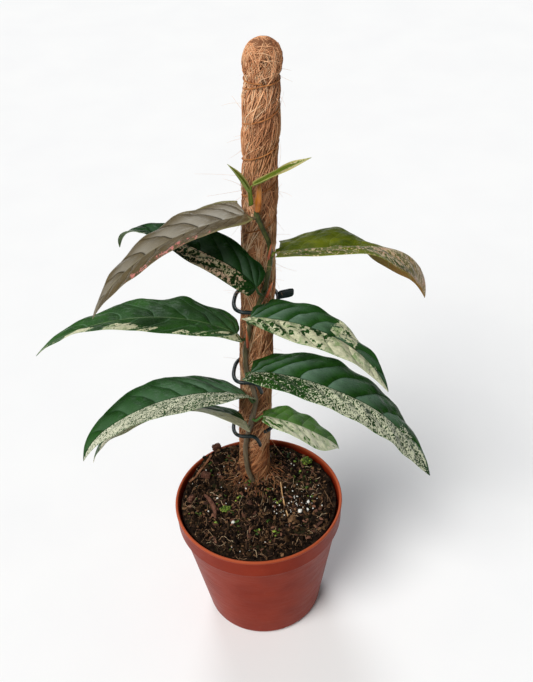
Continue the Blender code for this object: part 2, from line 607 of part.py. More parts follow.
def rod(name, a, b, r, mat, bend=0.0, n=7, sides=6):
    """stick that lies on the soil and follows its slope"""
    pts = []
    for i in range(n):
        t = i / (n - 1)
        x = a[0] + (b[0] - a[0]) * t - (b[1] - a[1]) * bend * math.sin(math.pi * t)
        y = a[1] + (b[1] - a[1]) * t + (b[0] - a[0]) * bend * math.sin(math.pi * t)
        h = max(soil_h(x + dx, y + dy) for dx in (-2.4, 0, 2.4) for dy in (-2.4, 0, 2.4))
        pts.append(np.array([x, y, POT_H + h + r + GAP + 0.25]))
    return loft(name, tube_rings(pts, [r * (0.85 + 0.15 * math.sin(3 * i)) for i in range(n)], sides), mat)


def chip(name, x, y, lx, ly, lz, ang, mat, seed, lift=0.0, pitch=0.0):
    """broken flake: a block with shifted corners and chamfered edges"""
    rnd = random.Random(seed)
    bm = bmesh.new()
    bmesh.ops.create_cube(bm, size=1.0)
    for v in bm.verts:
        v.co = Vector((v.co.x * lx * rnd.uniform(0.7, 1.1), v.co.y * ly * rnd.uniform(0.65, 1.15), v.co.z * lz * rnd.uniform(0.7, 1.1)))
    bmesh.ops.bevel(bm, geom=list(bm.edges), offset=min(lx, ly, lz) * 0.22, segments=1, affect="EDGES")
    bmesh.ops.triangulate(bm, faces=bm.faces)
    ca, sa = math.cos(math.radians(ang)), math.sin(math.radians(ang))
    cp, sp = math.cos(math.radians(pitch)), math.sin(math.radians(pitch))
    pts = []
    for v in bm.verts:
        p = (v.co.x * cp + v.co.z * sp, v.co.y, -v.co.x * sp + v.co.z * cp)
        pts.append(np.array([x + p[0] * ca - p[1] * sa, y + p[0] * sa + p[1] * ca, p[2]]))
    rise = max(soil_h(q[0] + dx, q[1] + dy) - q[2] for q in pts for dx in (-2, 0, 2) for dy in (-2, 0, 2)) if pitch == 0 else \
        max(soil_h(q[0], q[1]) - q[2] for q in pts)
    faces = [tuple(v.index for v in f.verts) for f in bm.faces]
    bm.free()
    return mesh_object(name, [(q + np.array([0, 0, POT_H + rise + GAP + 0.35 + lift])) * MM for q in pts], faces, mat, smooth=False)


rod("twig", (-33.5, 37.5), (-50.5, 19.5), 0.9, M_BARK, 0.04)
rod("straw", (16.5, 9.5), (22.0, -24.5), 0.55, M_STRAW, -0.03, 8, 5)
rod("bark_curl", (-39.0, 5.0), (-31.0, -17.5), 1.5, M_BARK, 0.10, 7, 6)
chip("bark_back", -30.0, 44.5, 8.5, 5.5, 4.2, 25, M_BARK, 3)
chip("bark_left", -38.0, 20.5, 9.5, 6.0, 2.6, -20, M_BARK, 7)
chip("bark_rim", -49.0, 3.5, 8.0, 5.0, 2.2, 60, M_BARK, 11)
chip("perlite_front", -18.5, -21.5, 2.8, 2.6, 2.2, 10, M_PERLITE, 21)
chip("perlite_right", 29.0, -14.0, 3.2, 2.8, 2.3, 40, M_PERLITE, 22)
chip("perlite_far_right", 35.5, -6.0, 2.6, 2.3, 2.0, 75, M_PERLITE, 23)
chip("pale_seed", -45.5, 13.5, 2.4, 1.8, 1.6, 15, M_PERLITE, 24)


def tuft(name, x, y, r, seed):
    """low cushion of moss"""
    rnd = random.Random(seed)
    bm = bmesh.new()
    bmesh.ops.create_icosphere(bm, subdivisions=2, radius=1.0)
    for v in bm.verts:
        k = 1 + rnd.uniform(-0.12, 0.16)
        v.co = Vector((v.co.x * r * k, v.co.y * r * 0.8 * k, v.co.z * r * 0.38 * k))
    pts = [np.array([x + v.co.x, y + v.co.y, v.co.z]) for v in bm.verts]
    rise = max(soil_h(q[0] + dx, q[1] + dy) - q[2] for q in pts for dx in (-1.5, 0, 1.5) for dy in (-1.5, 0, 1.5))
    faces = [tuple(v.index for v in f.verts) for f in bm.faces]
    bm.free()
    return mesh_object(name, [(q + np.array([0, 0, POT_H + rise + GAP + 0.2])) * MM for q in pts], faces, M_MOSS)


tuft("moss_right", 37.0, 33.5, 4.2, 5)
tuft("moss_left", -24.0, -10.0, 3.6, 6)

for _o in list(cut.objects):
    bpy.data.objects.remove(_o, do_unlink=True)
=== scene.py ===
"""Looks of the variegated climbing fig on a coir pole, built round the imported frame.

Lengths in the helpers are millimetres unless a name says otherwise; meshes are written in metres.
"""
import math

import bmesh
import bpy
import numpy as np
from mathutils import Matrix, Vector


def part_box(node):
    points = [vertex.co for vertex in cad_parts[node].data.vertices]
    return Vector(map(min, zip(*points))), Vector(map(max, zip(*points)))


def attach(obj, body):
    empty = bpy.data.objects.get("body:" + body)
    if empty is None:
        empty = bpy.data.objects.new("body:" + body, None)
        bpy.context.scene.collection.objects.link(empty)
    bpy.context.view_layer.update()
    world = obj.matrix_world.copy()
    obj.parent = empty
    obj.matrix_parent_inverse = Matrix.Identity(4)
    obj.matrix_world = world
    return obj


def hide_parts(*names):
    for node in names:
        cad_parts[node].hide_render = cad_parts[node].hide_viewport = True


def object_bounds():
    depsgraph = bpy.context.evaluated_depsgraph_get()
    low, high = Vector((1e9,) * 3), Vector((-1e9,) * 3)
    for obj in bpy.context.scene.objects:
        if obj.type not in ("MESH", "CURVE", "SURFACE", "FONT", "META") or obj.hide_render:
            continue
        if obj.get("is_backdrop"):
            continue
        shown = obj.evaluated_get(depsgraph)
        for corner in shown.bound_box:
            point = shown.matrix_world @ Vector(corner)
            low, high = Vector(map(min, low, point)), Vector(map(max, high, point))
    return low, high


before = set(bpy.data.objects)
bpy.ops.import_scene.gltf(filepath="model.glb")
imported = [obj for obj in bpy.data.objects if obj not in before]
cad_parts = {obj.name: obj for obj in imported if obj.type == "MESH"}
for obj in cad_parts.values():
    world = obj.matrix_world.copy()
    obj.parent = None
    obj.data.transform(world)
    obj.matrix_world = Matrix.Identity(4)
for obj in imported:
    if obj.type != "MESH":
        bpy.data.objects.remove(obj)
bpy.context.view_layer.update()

MM = 0.001
GAP = 0.30

# ---- the same dimensions as the solids ------------------------------------------------------
POT_H = 104.0
RIM_R = 60.0
BAND_H = 16.4
BODY_TOP_R = 57.0
BASE_R = 42.0
WALL = 1.6
FLOOR_T = 2.0
DRAIN_R, DRAIN_PCD_R, DRAIN_N = 4.0, 29.0, 6
POLE_R = 10.4
POLE_X, POLE_Y = -2.7, 22.0
POLE_LEAN = 0.0652
POLE_TOP = 331.0
POLE_BOTTOM = -70.0
THREAD_R = 0.35
STEM_R = 2.1
STEM_OUT = POLE_R + GAP + STEM_R + 0.15
STEM_PATH = [(-95, -14, 0), (-95, 0, 0), (-97, 8, 0), (-112, 18, 0), (-121, 34, 0), (-119, 47, 0), (-109, 59, 0),
             (-97, 74, 0), (-92, 84, 0), (-101, 96, 0), (-121, 110, 0), (-126, 126, 0), (-119, 138, 0),
             (-110, 151, 0), (-92, 163, 0), (-74, 174, 0), (-62, 188, 0), (-58, 199, 0.2), (-66, 210, 0.9),
             (-82, 220, 1.1), (-97, 229, 0.9), (-100, 233, 0.8)]
LEAVES = {
    "leaf_bronze_left": ((3.4, 6.5, 232), 115, 22.5, 197, -1, (0, -9, -25, -42, -64), (11, 13, 8, 0), (12, 13, 9, 9), 12, 0.99, -1, 229, 0.6, 0.35, 12),
    "leaf_dark_left": ((8, -2, 185.3), 112, 16.3, 161, -19, (53, 22, 13, -13, -82), (-16, -9, 14, 5), (8, 18, 16, 11), 3, 1.09, -1, 175, 0.9, 0.35, 6),
    "leaf_upper_right": ((19.8, 3.5, 206.8), 126, 31.3, 4, 19, (0, -3, -15, -55, -96), (-32, -18, -20, -1), (5, 19, -22, -56), 24, 1.06, 1, 201, 0.1, 0.15, 25),
    "leaf_middle_left": ((-6.3, 4.9, 145.9), 139, 22.4, 179, 3, (33, 13, -4, -19, -47), (16, 7, 15, 8), (10, 10, 15, 14), 11, 1.01, -1, 138, 0.8, 0.35, 13),
    "leaf_middle_right": ((2.6, -2.3, 164.1), 104, 19.7, -22, -13, (10, -1, -14, -38, -65), (-12, -3, -13, 6), (23, 11, 6, 11), 14, 1.08, 1, 153, 0.3, 0.2, 10),
    "leaf_big_right": ((0.5, -3.7, 120.9), 146, 28.3, -15, -13, (9, -11, -23, -50, -64), (-18, -11, -13, 12), (9, 15, 7, 4), 15, 1.12, 1, 109, 0.3, 0.2, 17),
    "leaf_lower_left": ((-2.2, 3.2, 94.7), 131, 25.2, 189, 6, (27, 5, -14, -32, -72), (31, 13, 8, -14), (8, 10, 17, 17), 11, 1.08, -1, 86, 0.2, 0.2, 8),
    "leaf_back_left": ((-5.4, 4.4, 70.6), 128, 21.5, 183, 5, (44, 13, -10, -38, -74), (24, 35, 12, 5), (-6, 9, 14, 14), 12, 1.05, -1, 62, 0.2, 0.2, 17),
    "leaf_small_right": ((6.9, 2.6, 76.6), 69, 17.1, -7, 36, (-10, -25, -40, -47, -66), (-16, -7, 9, 22), (6, 7, 5, 27), 12, 1.17, 1, 69, 0.3, 0.2, 4),
}
YOUNG = {
    "young_leaf_left": ((6.2, 7.0, 246.6), 21.0, 3.4, 172, 0, (66, 62, 58, 55, 52), (0, 0, 0, 0), (45, 40, 35, 30), 5, 1.0, -1, 0.0, 0.3, 0.3, 0, (7.0, 7.4, 237.4)),
    "young_leaf_right": ((9.1, 3.6, 252.6), 37.5, 6.8, -6, 10, (22, 30, 26, 24, 22), (-10, -12, -5, 0), (16, 12, 12, 10), 5, 1.1, 1, 0.0, 0.3, 0.3, 0, (8.0, 3.4, 240.2)),
}
PETIOLE_R = 0.95
STEM_CLEAR = 3.1
LEAF_CLEAR = POLE_R + 1.9
KS = np.array([0.0, 0.03, 0.08, 0.16, 0.28, 0.42, 0.57, 0.72, 0.85, 0.94, 1.0])
KX = np.array([0.0, -0.034, -0.022, 0.078, 0.25, 0.43, 0.60, 0.755, 0.872, 0.95, 1.0])
KY = np.array([0.0, 0.24, 0.54, 0.86, 1.00, 0.96, 0.78, 0.50, 0.25, 0.10, 0.0])

col = bpy.data.collections.new("looks")
bpy.context.scene.collection.children.link(col)


# ---- maths ------------------------------------------------------------------------------------
def catmull(pts, per):
    pts = [np.array(p, float) for p in pts]
    ext = [2 * pts[0] - pts[1]] + pts + [2 * pts[-1] - pts[-2]]
    out = []
    for i in range(1, len(ext) - 2):
        p0, p1, p2, p3 = ext[i - 1], ext[i], ext[i + 1], ext[i + 2]
        for k in range(per):
            t = k / per
            out.append(0.5 * ((2 * p1) + (-p0 + p2) * t + (2 * p0 - 5 * p1 + 4 * p2 - p3) * t * t
                              + (-p0 + 3 * p1 - 3 * p2 + p3) * t ** 3))
    out.append(pts[-1])
    return np.array(out)


def resample(path, n):
    path = np.asarray(path, float)
    d = np.r_[0, np.cumsum(np.linalg.norm(np.diff(path, axis=0), axis=1))]
    q = np.linspace(0, d[-1], n)
    return np.stack([np.interp(q, d, path[:, k]) for k in range(path.shape[1])], -1)


def pole_point(x, y, h):
    return np.array([POLE_X + POLE_LEAN * h + x, POLE_Y + y, POT_H + h])


def pchip(x, y, q):
    h = np.diff(x)
    d = np.diff(y) / h
    m = np.zeros_like(y)
    for i in range(1, len(x) - 1):
        if d[i - 1] * d[i] > 0:
            w1 = 2 * h[i] + h[i - 1]
            w2 = h[i] + 2 * h[i - 1]
            m[i] = (w1 + w2) / (w1 / d[i - 1] + w2 / d[i])
    m[0], m[-1] = d[0], d[-1]
    i = np.clip(np.searchsorted(x, q) - 1, 0, len(x) - 2)
    t = (q - x[i]) / h[i]
    return ((2 * t ** 3 - 3 * t ** 2 + 1) * y[i] + (t ** 3 - 2 * t ** 2 + t) * h[i] * m[i]
            + (-2 * t ** 3 + 3 * t ** 2) * y[i + 1] + (t ** 3 - t ** 2) * h[i] * m[i + 1])


def along(vals, q):
    return pchip(np.linspace(0, 1, len(vals)), np.asarray(vals, float), np.clip(q, 0, 1))


def smooth(a, b, x):
    t = np.clip((x - a) / (b - a), 0, 1)
    return t * t * (3 - 2 * t)


def window(x, a, b, soft):
    return smooth(a - soft, a + soft, x) * (1 - smooth(b - soft, b + soft, x))


class Waves:
    """smooth random field: a sum of seeded plane waves"""

    def __init__(self, seed, size, dims=3, n=24):
        r = np.random.default_rng(seed)
        k = r.normal(size=(n, dims))
        k *= (2 * math.pi / size * r.uniform(0.6, 1.6, n) / np.linalg.norm(k, axis=1))[:, None]
        self.k, self.p, self.a = k, r.uniform(0, 2 * math.pi, n), math.sqrt(2.0 / n)

    def __call__(self, *xyz):
        x = np.stack(np.broadcast_arrays(*xyz), -1)
        return (np.cos(x @ self.k.T + self.p)).sum(-1) * self.a


# ---- meshes -----------------------------------------------------------------------------------
def build(name, verts, faces, material, body="root", node=None, slot=None, attrs=None, smooth_shade=True):
    """verts (n,3) in mm; faces is a list of integer arrays (m,3) or (m,4)"""
    verts = np.asarray(verts, float) * MM
    me = bpy.data.meshes.new(name)
    loops = np.concatenate([np.asarray(f).ravel() for f in faces]).astype(np.int32)
    sizes = np.concatenate([np.full(len(f), np.asarray(f).shape[1]) for f in faces]).astype(np.int32)
    start = np.r_[0, np.cumsum(sizes)[:-1]].astype(np.int32)
    me.vertices.add(len(verts))
    me.vertices.foreach_set("co", verts.astype(np.float32).ravel())
    me.loops.add(len(loops))
    me.loops.foreach_set("vertex_index", loops)
    me.polygons.add(len(sizes))
    me.polygons.foreach_set("loop_start", start)
    me.polygons.foreach_set("loop_total", sizes)
    me.polygons.foreach_set("use_smooth", np.full(len(sizes), smooth_shade))
    for k, v in (attrs or {}).items():
        v = np.asarray(v, np.float32)
        a = me.attributes.new(k, "FLOAT" if v.ndim == 1 else "FLOAT_VECTOR", "POINT")
        a.data.foreach_set("value" if v.ndim == 1 else "vector", v.ravel())
    me.update(calc_edges=True)
    me.validate()
    o = bpy.data.objects.new(name, me)
    me.materials.append(material)
    col.objects.link(o)
    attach(o, body)
    if node:
        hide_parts(*([node] if isinstance(node, str) else node))
    return o


def orient_out(o):
    bm = bmesh.new()
    bm.from_mesh(o.data)
    bmesh.ops.recalc_face_normals(bm, faces=bm.faces)
    bm.to_mesh(o.data)
    bm.free()


class Bag:
    """collects many small closed shells into one mesh"""

    def __init__(self):
        self.v, self.q, self.t, self.a, self.n = [], [], [], {}, 0

    def add(self, verts, quads=None, tris=None, **attrs):
        verts = np.asarray(verts, float).reshape(-1, 3)
        if quads is not None and len(quads):
            self.q.append(np.asarray(quads) + self.n)
        if tris is not None and len(tris):
            self.t.append(np.asarray(tris) + self.n)
        for k, x in attrs.items():
            x = np.asarray(x, float)
            if x.ndim == 0:
                x = np.full(len(verts), float(x))
            self.a.setdefault(k, []).append(x)
        self.v.append(verts)
        self.n += len(verts)

    def make(self, name, material, **kw):
        faces = ([np.concatenate(self.q)] if self.q else []) + ([np.concatenate(self.t)] if self.t else [])
        return build(name, np.concatenate(self.v), faces, material, attrs={k: np.concatenate(x) for k, x in self.a.items()}, **kw)


def frames(path):
    """carried frames of many paths at once: path (n, k, 3) -> unit a, b (n, k, 3)"""
    tan = np.gradient(path, axis=1)
    tan /= np.linalg.norm(tan, axis=2, keepdims=True) + 1e-12
    up = np.where((abs(tan[:, 0, 2]) < 0.9)[:, None], np.array([0.0, 0.0, 1.0]), np.array([0.0, 1.0, 0.0]))
    a = np.cross(tan[:, 0], up)
    a /= np.linalg.norm(a, axis=1, keepdims=True)
    A, B = np.empty_like(path), np.empty_like(path)
    for i in range(path.shape[1]):
        t = tan[:, i]
        a = a - t * (a * t).sum(1, keepdims=True)
        a /= np.linalg.norm(a, axis=1, keepdims=True) + 1e-12
        A[:, i], B[:, i] = a, np.cross(t, a)
    return A, B


def tubes(paths, radii, n):
    """closed tubes round many paths: paths (m, k, 3), radii (m, k) -> verts, quads, tris (tubes one after another)"""
    m, k, _ = paths.shape
    A, B = frames(paths)
    ang = 2 * math.pi * np.arange(n) / n
    ring = (A[:, :, None] * np.cos(ang)[None, None, :, None] + B[:, :, None] * np.sin(ang)[None, None, :, None])
    v = paths[:, :, None] + ring * radii[:, :, None, None]
    i, j = np.meshgrid(np.arange(k - 1), np.arange(n), indexing="ij")
    jn = (j + 1) % n
    q = np.stack([i * n + j, i * n + jn, (i + 1) * n + jn, (i + 1) * n + j], -1).reshape(-1, 4)
    caps = []
    for c in range(1, n - 1):
        caps.append((0, c + 1, c))
        caps.append(((k - 1) * n, (k - 1) * n + c, (k - 1) * n + c + 1))
    off = np.arange(m)[:, None, None] * (k * n)
    return v.reshape(-1, 3), (q[None] + off).reshape(-1, 4), (np.array(caps)[None] + off).reshape(-1, 3)


def grid_faces(nr, nc, wrap=False):
    i, j = np.meshgrid(np.arange(nr - 1), np.arange(nc if wrap else nc - 1), indexing="ij")
    jn = (j + 1) % nc
    return np.stack([i * nc + j, i * nc + jn, (i + 1) * nc + jn, (i + 1) * nc + j], -1).reshape(-1, 4)


ICO = None


def ico():
    """unit icosphere of 42 points and plain icosahedron of 12, made once"""
    global ICO
    if ICO is None:
        ICO = []
        for sub in (1, 2, 3):
            bm = bmesh.new()
            bmesh.ops.create_icosphere(bm, subdivisions=sub, radius=1.0)
            ICO.append((np.array([v.co[:] for v in bm.verts]), np.array([[v.index for v in f.verts] for f in bm.faces])))
            bm.free()
    return ICO


def lumps(bag, centres, sizes, seed, sub=0, rough=0.25, flat=1.0, **attrs):
    """irregular grains: centres (m,3), sizes (m,3)"""
    r = np.random.default_rng(seed)
    v, f = ico()[sub]
    m = len(centres)
    k = 1 + r.uniform(-rough, rough, (m, len(v)))
    p = v[None] * k[:, :, None] * np.asarray(sizes)[:, None, :]
    a, b, c = r.uniform(0, 2 * math.pi, m), r.normal(0, 0.35 * flat, m), r.normal(0, 0.35 * flat, m)
    ca, sa, cb, sb, cc, sc = np.cos(a), np.sin(a), np.cos(b), np.sin(b), np.cos(c), np.sin(c)
    x, y, z = p[..., 0], p[..., 1], p[..., 2]
    y, z = y * cb[:, None] - z * sb[:, None], y * sb[:, None] + z * cb[:, None]
    x, z = x * cc[:, None] + z * sc[:, None], -x * sc[:, None] + z * cc[:, None]
    x, y = x * ca[:, None] - y * sa[:, None], x * sa[:, None] + y * ca[:, None]
    p = np.stack([x, y, z], -1) + np.asarray(centres)[:, None]
    tri = (f[None] + (np.arange(m) * len(v))[:, None, None]).reshape(-1, 3)
    at = {k2: np.repeat(np.asarray(w, float), len(v), axis=0) for k2, w in attrs.items()}
    bag.add(p.reshape(-1, 3), tris=tri, **at)


# ---- materials ----------------------------------------------------------------------------------
class Graph:
    """builds a node material"""

    def __init__(self, name, rough=0.5, spec=0.5):
        self.m = bpy.data.materials.new(name)
        self.m.use_nodes = True
        self.t = self.m.node_tree
        self.b = self.t.nodes["Principled BSDF"]
        self.b.inputs["Roughness"].default_value = rough
        self.b.inputs["Specular IOR Level"].default_value = spec

    def put(self, sock, v):
        if isinstance(v, bpy.types.NodeSocket):
            self.t.links.new(v, sock)
        elif v is not None:
            if hasattr(sock.default_value, "__len__") and len(sock.default_value) == 4 and len(v) == 3:
                v = (*v, 1.0)
            sock.default_value = v

    def add(self, kind, out=0, props=None, ins=None):
        n = self.t.nodes.new(kind)
        for k, v in (props or {}).items():
            setattr(n, k, v)
        for k, v in (ins or {}).items():
            self.put(n.inputs[k], v)
        return n.outputs[out]

    def attr(self, name, out="Fac"):
        return self.add("ShaderNodeAttribute", out, {"attribute_name": name})

    def xyz(self, v):
        n = self.t.nodes.new("ShaderNodeSeparateXYZ")
        self.t.links.new(v, n.inputs[0])
        return n.outputs[0], n.outputs[1], n.outputs[2]

    def vec(self, x, y, z):
        return self.add("ShaderNodeCombineXYZ", 0, None, {0: x, 1: y, 2: z})

    def math(self, op, a, b=None, c=None, clamp=False):
        return self.add("ShaderNodeMath", 0, {"operation": op, "use_clamp": clamp}, {0: a, **({1: b} if b is not None else {}), **({2: c} if c is not None else {})})

    def mix(self, f, a, b, mode="MIX"):
        return self.add("ShaderNodeMix", 2, {"data_type": "RGBA", "blend_type": mode}, {0: f, 6: a, 7: b})

    def noise(self, vec, scale, detail=2.0, rough=0.5, distort=0.0, out=0):
        return self.add("ShaderNodeTexNoise", out, None, {"Vector": vec, "Scale": scale, "Detail": detail, "Roughness": rough, "Distortion": distort})

    def cells(self, vec, scale, feature="F1", out="Distance", rand=1.0):
        return self.add("ShaderNodeTexVoronoi", out, {"feature": feature}, {"Vector": vec, "Scale": scale, "Randomness": rand})

    def span(self, v, a, b, c=0.0, d=1.0, smooth_it=False):
        return self.add("ShaderNodeMapRange", 0, {"interpolation_type": "SMOOTHSTEP" if smooth_it else "LINEAR"},
                        {0: v, 1: a, 2: b, 3: c, 4: d})

    def ramp(self, f, stops):
        n = self.t.nodes.new("ShaderNodeValToRGB")
        e = n.color_ramp.elements
        while len(e) < len(stops):
            e.new(0.5)
        for x, (p, c) in zip(e, stops):
            x.position = p
            x.color = (*c, 1.0)
        self.put(n.inputs[0], f)
        return n.outputs[0]

    def obj(self):
        """coordinates in the row frame, in units of 10 mm"""
        c = self.add("ShaderNodeTexCoord", "Object")
        return self.add("ShaderNodeVectorMath", 0, {"operation": "SCALE"}, {0: c, "Scale": 100.0})

    def bump(self, h, strength=0.5, dist=0.001):
        return self.add("ShaderNodeBump", 0, None, {"Height": h, "Strength": strength, "Distance": dist})

    def end(self, color=None, rough=None, normal=None, sub=0.0, radius=(0.4, 0.8, 0.2), scale=0.001, coat=0.0, coat_rough=0.1, sheen=0.0):
        self.put(self.b.inputs["Base Color"], color)
        self.put(self.b.inputs["Roughness"], rough)
        if normal is not None:
            self.put(self.b.inputs["Normal"], normal)
        if sub:
            self.b.inputs["Subsurface Weight"].default_value = sub
            self.b.inputs["Subsurface Radius"].default_value = radius
            self.b.inputs["Subsurface Scale"].default_value = scale
        if coat:
            self.b.inputs["Coat Weight"].default_value = coat
            self.b.inputs["Coat Roughness"].default_value = coat_rough
        if sheen:
            self.b.inputs["Sheen Weight"].default_value = sheen
        return self.m


def leaf_material(name, dark, mid, cream, vein, under, seed, fleck=(0.5, 0.4, 0.3), sharp=9.0, panel_sheen=0.0, pink=None,
                  rough=0.32, vein_mix=0.35, midrib=None, stretch=0.10, tint=None, dry=None, grain=(4.2, 10.5), worm=0.6, sage=None,
                  sage_mix=0.8, vein_wide=0.055, spec=0.07, painted_sheen=None, squeeze=0.6):
    """fleck weighs the coarse streaks, the mid grain and the fine grain of the variegation.
    The blade carries: la = (vein phase, distance from the midrib in mm (+ is the near half), position 0-1),
    lb = (bias of the near half, bias of the far half, underside), lm = (mm along, mm across, 0-1 to the margin)."""
    g = Graph(name, rough, spec)
    q, y, s = g.xyz(g.attr("la", "Vector"))
    bn, bf, un = g.xyz(g.attr("lb", "Vector"))
    lm = g.attr("lm", "Vector")
    mx, my, v = g.xyz(lm)
    near = g.span(y, -0.12, 0.12, smooth_it=True)
    # green ground
    p = g.add("ShaderNodeVectorMath", 0, {"operation": "MULTIPLY_ADD"}, {0: lm, 1: (0.1, 0.1, 0.0), 2: (seed * 3.7, seed * 1.9, seed)})
    low = g.noise(p, 0.9, 3.0, 0.55)
    tone = g.mix(g.span(low, 0.36, 0.66), dark, mid)
    # veins
    ph = g.math("ADD", q, g.math("MULTIPLY", near, 0.46))
    fr = g.math("ABSOLUTE", g.math("SUBTRACT", g.math("FRACT", g.math("ADD", ph, 0.5)), 0.5))
    vline = g.math("MULTIPLY", g.span(fr, 0.012, vein_wide, 1.0, 0.0, True), g.span(v, 0.88, 0.99, 1.0, 0.0))
    mline = g.span(g.math("ABSOLUTE", y), 0.25, 0.75, 1.0, 0.0, True)
    net = g.cells(p, 5.5, "DISTANCE_TO_EDGE")
    netline = g.span(net, 0.0, 0.09, 1.0, 0.0)
    tone = g.mix(g.math("MULTIPLY", netline, 0.22), tone, vein)
    if panel_sheen:
        # painted sheen: the panels are painted a pale grey, strongest beside the midrib of the far half
        panel = g.math("MULTIPLY", g.span(fr, 0.02, 0.10), g.span(v, 0.35, 1.0, 1.0, 0.25))
        panel = g.math("MULTIPLY", panel, g.span(g.noise(p, 2.2, 2.0), 0.35, 0.65, 0.72, 1.0))
        panel = g.math("MULTIPLY", panel, g.math("SUBTRACT", 1.0, g.math("MULTIPLY", near, 0.65)))
        tone = g.mix(g.math("MULTIPLY", panel, panel_sheen), tone, (0.215, 0.190, 0.138))
    if painted_sheen:
        # painted sheen and shade: each panel is painted paler against one of its veins, as where its slope catches the
        # light, and deepens towards the other
        f = g.math("FRACT", ph)
        sheen_grad = g.span(f, 0.03, 0.85, 1.0, 0.0) if painted_sheen[2] > 0 else g.span(f, 0.97, 0.15, 1.0, 0.0)
        sheen_grad = g.math("MULTIPLY", sheen_grad, g.span(v, 0.45, 0.92, 1.0, 0.0, True))
        sheen_grad = g.math("MULTIPLY", sheen_grad, g.math("SUBTRACT", 1.0, near))
        sheen_grad = g.math("MULTIPLY", sheen_grad, g.span(s, 0.10, 0.95, painted_sheen[1], painted_sheen[1] * 0.35))
        tone = g.mix(sheen_grad, tone, painted_sheen[0])
    tone = g.mix(g.math("MULTIPLY", vline, vein_mix), tone, vein)
    tone = g.mix(g.math("MULTIPLY", mline, 0.6), tone, midrib or vein)
    if tint:
        # colour that comes in towards the tip
        tone = g.mix(g.span(g.math("ADD", s, g.math("MULTIPLY", low, 0.3)), tint[1], tint[2], 0.0, tint[3]), tone, tint[0])
    # variegation
    sv = g.vec(g.math("MULTIPLY", ph, 1.9), g.math("MULTIPLY", y, stretch), seed * 2.3)
    n1 = g.noise(sv, 1.6, 2.0, 0.5)
    # the marks of the near half are drawn out across the blade
    ps = g.add("ShaderNodeVectorMath", 0, {"operation": "MULTIPLY"}, {0: p, 1: g.vec(1.0, g.span(near, 0.0, 1.0, 1.0, squeeze), 1.0)})
    n2 = g.noise(ps, grain[0], 1.5, 0.5, worm)
    n3 = g.noise(ps, grain[1], 1.5, 0.6, 0.4)
    field = g.math("ADD", g.math("ADD", g.math("MULTIPLY", g.math("SUBTRACT", n1, 0.5), fleck[0] * 2),
                                 g.math("MULTIPLY", g.math("SUBTRACT", n2, 0.5), fleck[1] * 2)),
                   g.math("MULTIPLY", g.math("SUBTRACT", n3, 0.5), fleck[2] * 2))
    bias = g.add("ShaderNodeMix", 0, {"data_type": "FLOAT"}, {0: near, 2: bf, 3: bn})
    mask = g.math("ADD", g.math("MULTIPLY", g.math("ADD", field, bias), sharp), 0.5, clamp=True)
    cr = g.mix(g.span(g.noise(p, 3.0, 2.0), 0.35, 0.65), cream, tuple(c * 0.80 for c in cream))
    if sage:
        # places where only part of the blade is pale
        cr = g.mix(g.span(g.noise(p, 1.7, 4.0, 0.6, 0.8), 0.47, 0.60, 0.0, sage_mix), cr, sage)
    if pink:
        cr = g.mix(g.span(g.noise(p, 1.5, 2.0), 0.42, 0.62, 0.0, 0.85), cr, pink)
    cr = g.mix(g.math("MULTIPLY", netline, 0.18), cr, tone)
    cr = g.mix(g.math("MULTIPLY", vline, 0.30), cr, tone)
    color = g.mix(mask, tone, cr)
    if dry:
        color = g.mix(g.math("MULTIPLY", g.span(v, dry[1], 1.0, 0.0, 1.0, True), g.span(s, dry[2], dry[3])), color, dry[0])
    # pale rim of the blade
    color = g.mix(g.span(v, 0.965, 1.0, 0.0, 0.55), color, tuple(min(1, c * 2.2 + 0.03) for c in mid))
    # underside: duller, with raised veins
    ug = g.mix(g.span(low, 0.3, 0.7), under, tuple(c * 0.82 for c in under))
    if tint:
        ug = g.mix(g.span(s, tint[1] - 0.2, tint[2] - 0.2, 0.0, tint[3]), ug, tuple(c * k for c, k in zip(tint[0], (1.1, 0.8, 0.5))))
    ug = g.mix(g.math("MULTIPLY", mask, 0.75), ug, tuple(c * 0.85 for c in cream))
    ug = g.mix(g.math("MAXIMUM", g.math("MULTIPLY", vline, 0.55), g.math("MULTIPLY", netline, 0.30)), ug, tuple(min(1, c * 1.5 + 0.04) for c in under))
    color = g.mix(un, color, ug)
    r = g.math("ADD", g.math("MULTIPLY", un, 0.22), g.span(g.noise(p, 6.0, 2.0), 0.3, 0.7, rough - 0.05, rough + 0.10))
    # finer veins that cross the panels, and the creases of the side veins
    cross = g.math("ABSOLUTE", g.math("SUBTRACT", g.math("FRACT", g.math("ADD", g.math("MULTIPLY", my, 0.30), g.math("MULTIPLY", g.noise(p, 1.6, 2.0), 2.2))), 0.5))
    h = g.math("ADD", g.math("MULTIPLY", net, 0.6), g.math("MULTIPLY", g.noise(p, 14.0, 2.0), 0.20))
    h = g.math("ADD", h, g.span(cross, 0.0, 0.16, 0.0, 0.45, True))
    h = g.math("SUBTRACT", h, g.math("MULTIPLY", vline, 0.9))
    return g.end(color, r, g.bump(h, 0.45, 0.0006))


def simple_material(name, a, b, scale, rough=0.5, bump_scale=None, bump=0.4, dist=0.0005, spec=0.5, stretch=None, detail=4.0, lo=0.35, hi=0.65, coat=0.0, c=None):
    g = Graph(name, rough, spec)
    p = g.obj()
    if stretch:
        p = g.add("ShaderNodeVectorMath", 0, {"operation": "MULTIPLY"}, {0: p, 1: stretch})
    f = g.noise(p, scale, detail, 0.6)
    color = g.mix(g.span(f, lo, hi), a, b)
    if c is not None:
        color = g.mix(g.span(g.noise(p, scale * 2.7, 3.0, 0.6, 0.8), 0.56, 0.68), color, c)
    r = g.span(g.noise(p, scale * 1.7, 3.0), 0.3, 0.7, rough - 0.08, rough + 0.08)
    n = g.bump(g.noise(p, bump_scale or scale * 4, 4.0, 0.65), bump, dist)
    return g.end(color, r, n, coat=coat)


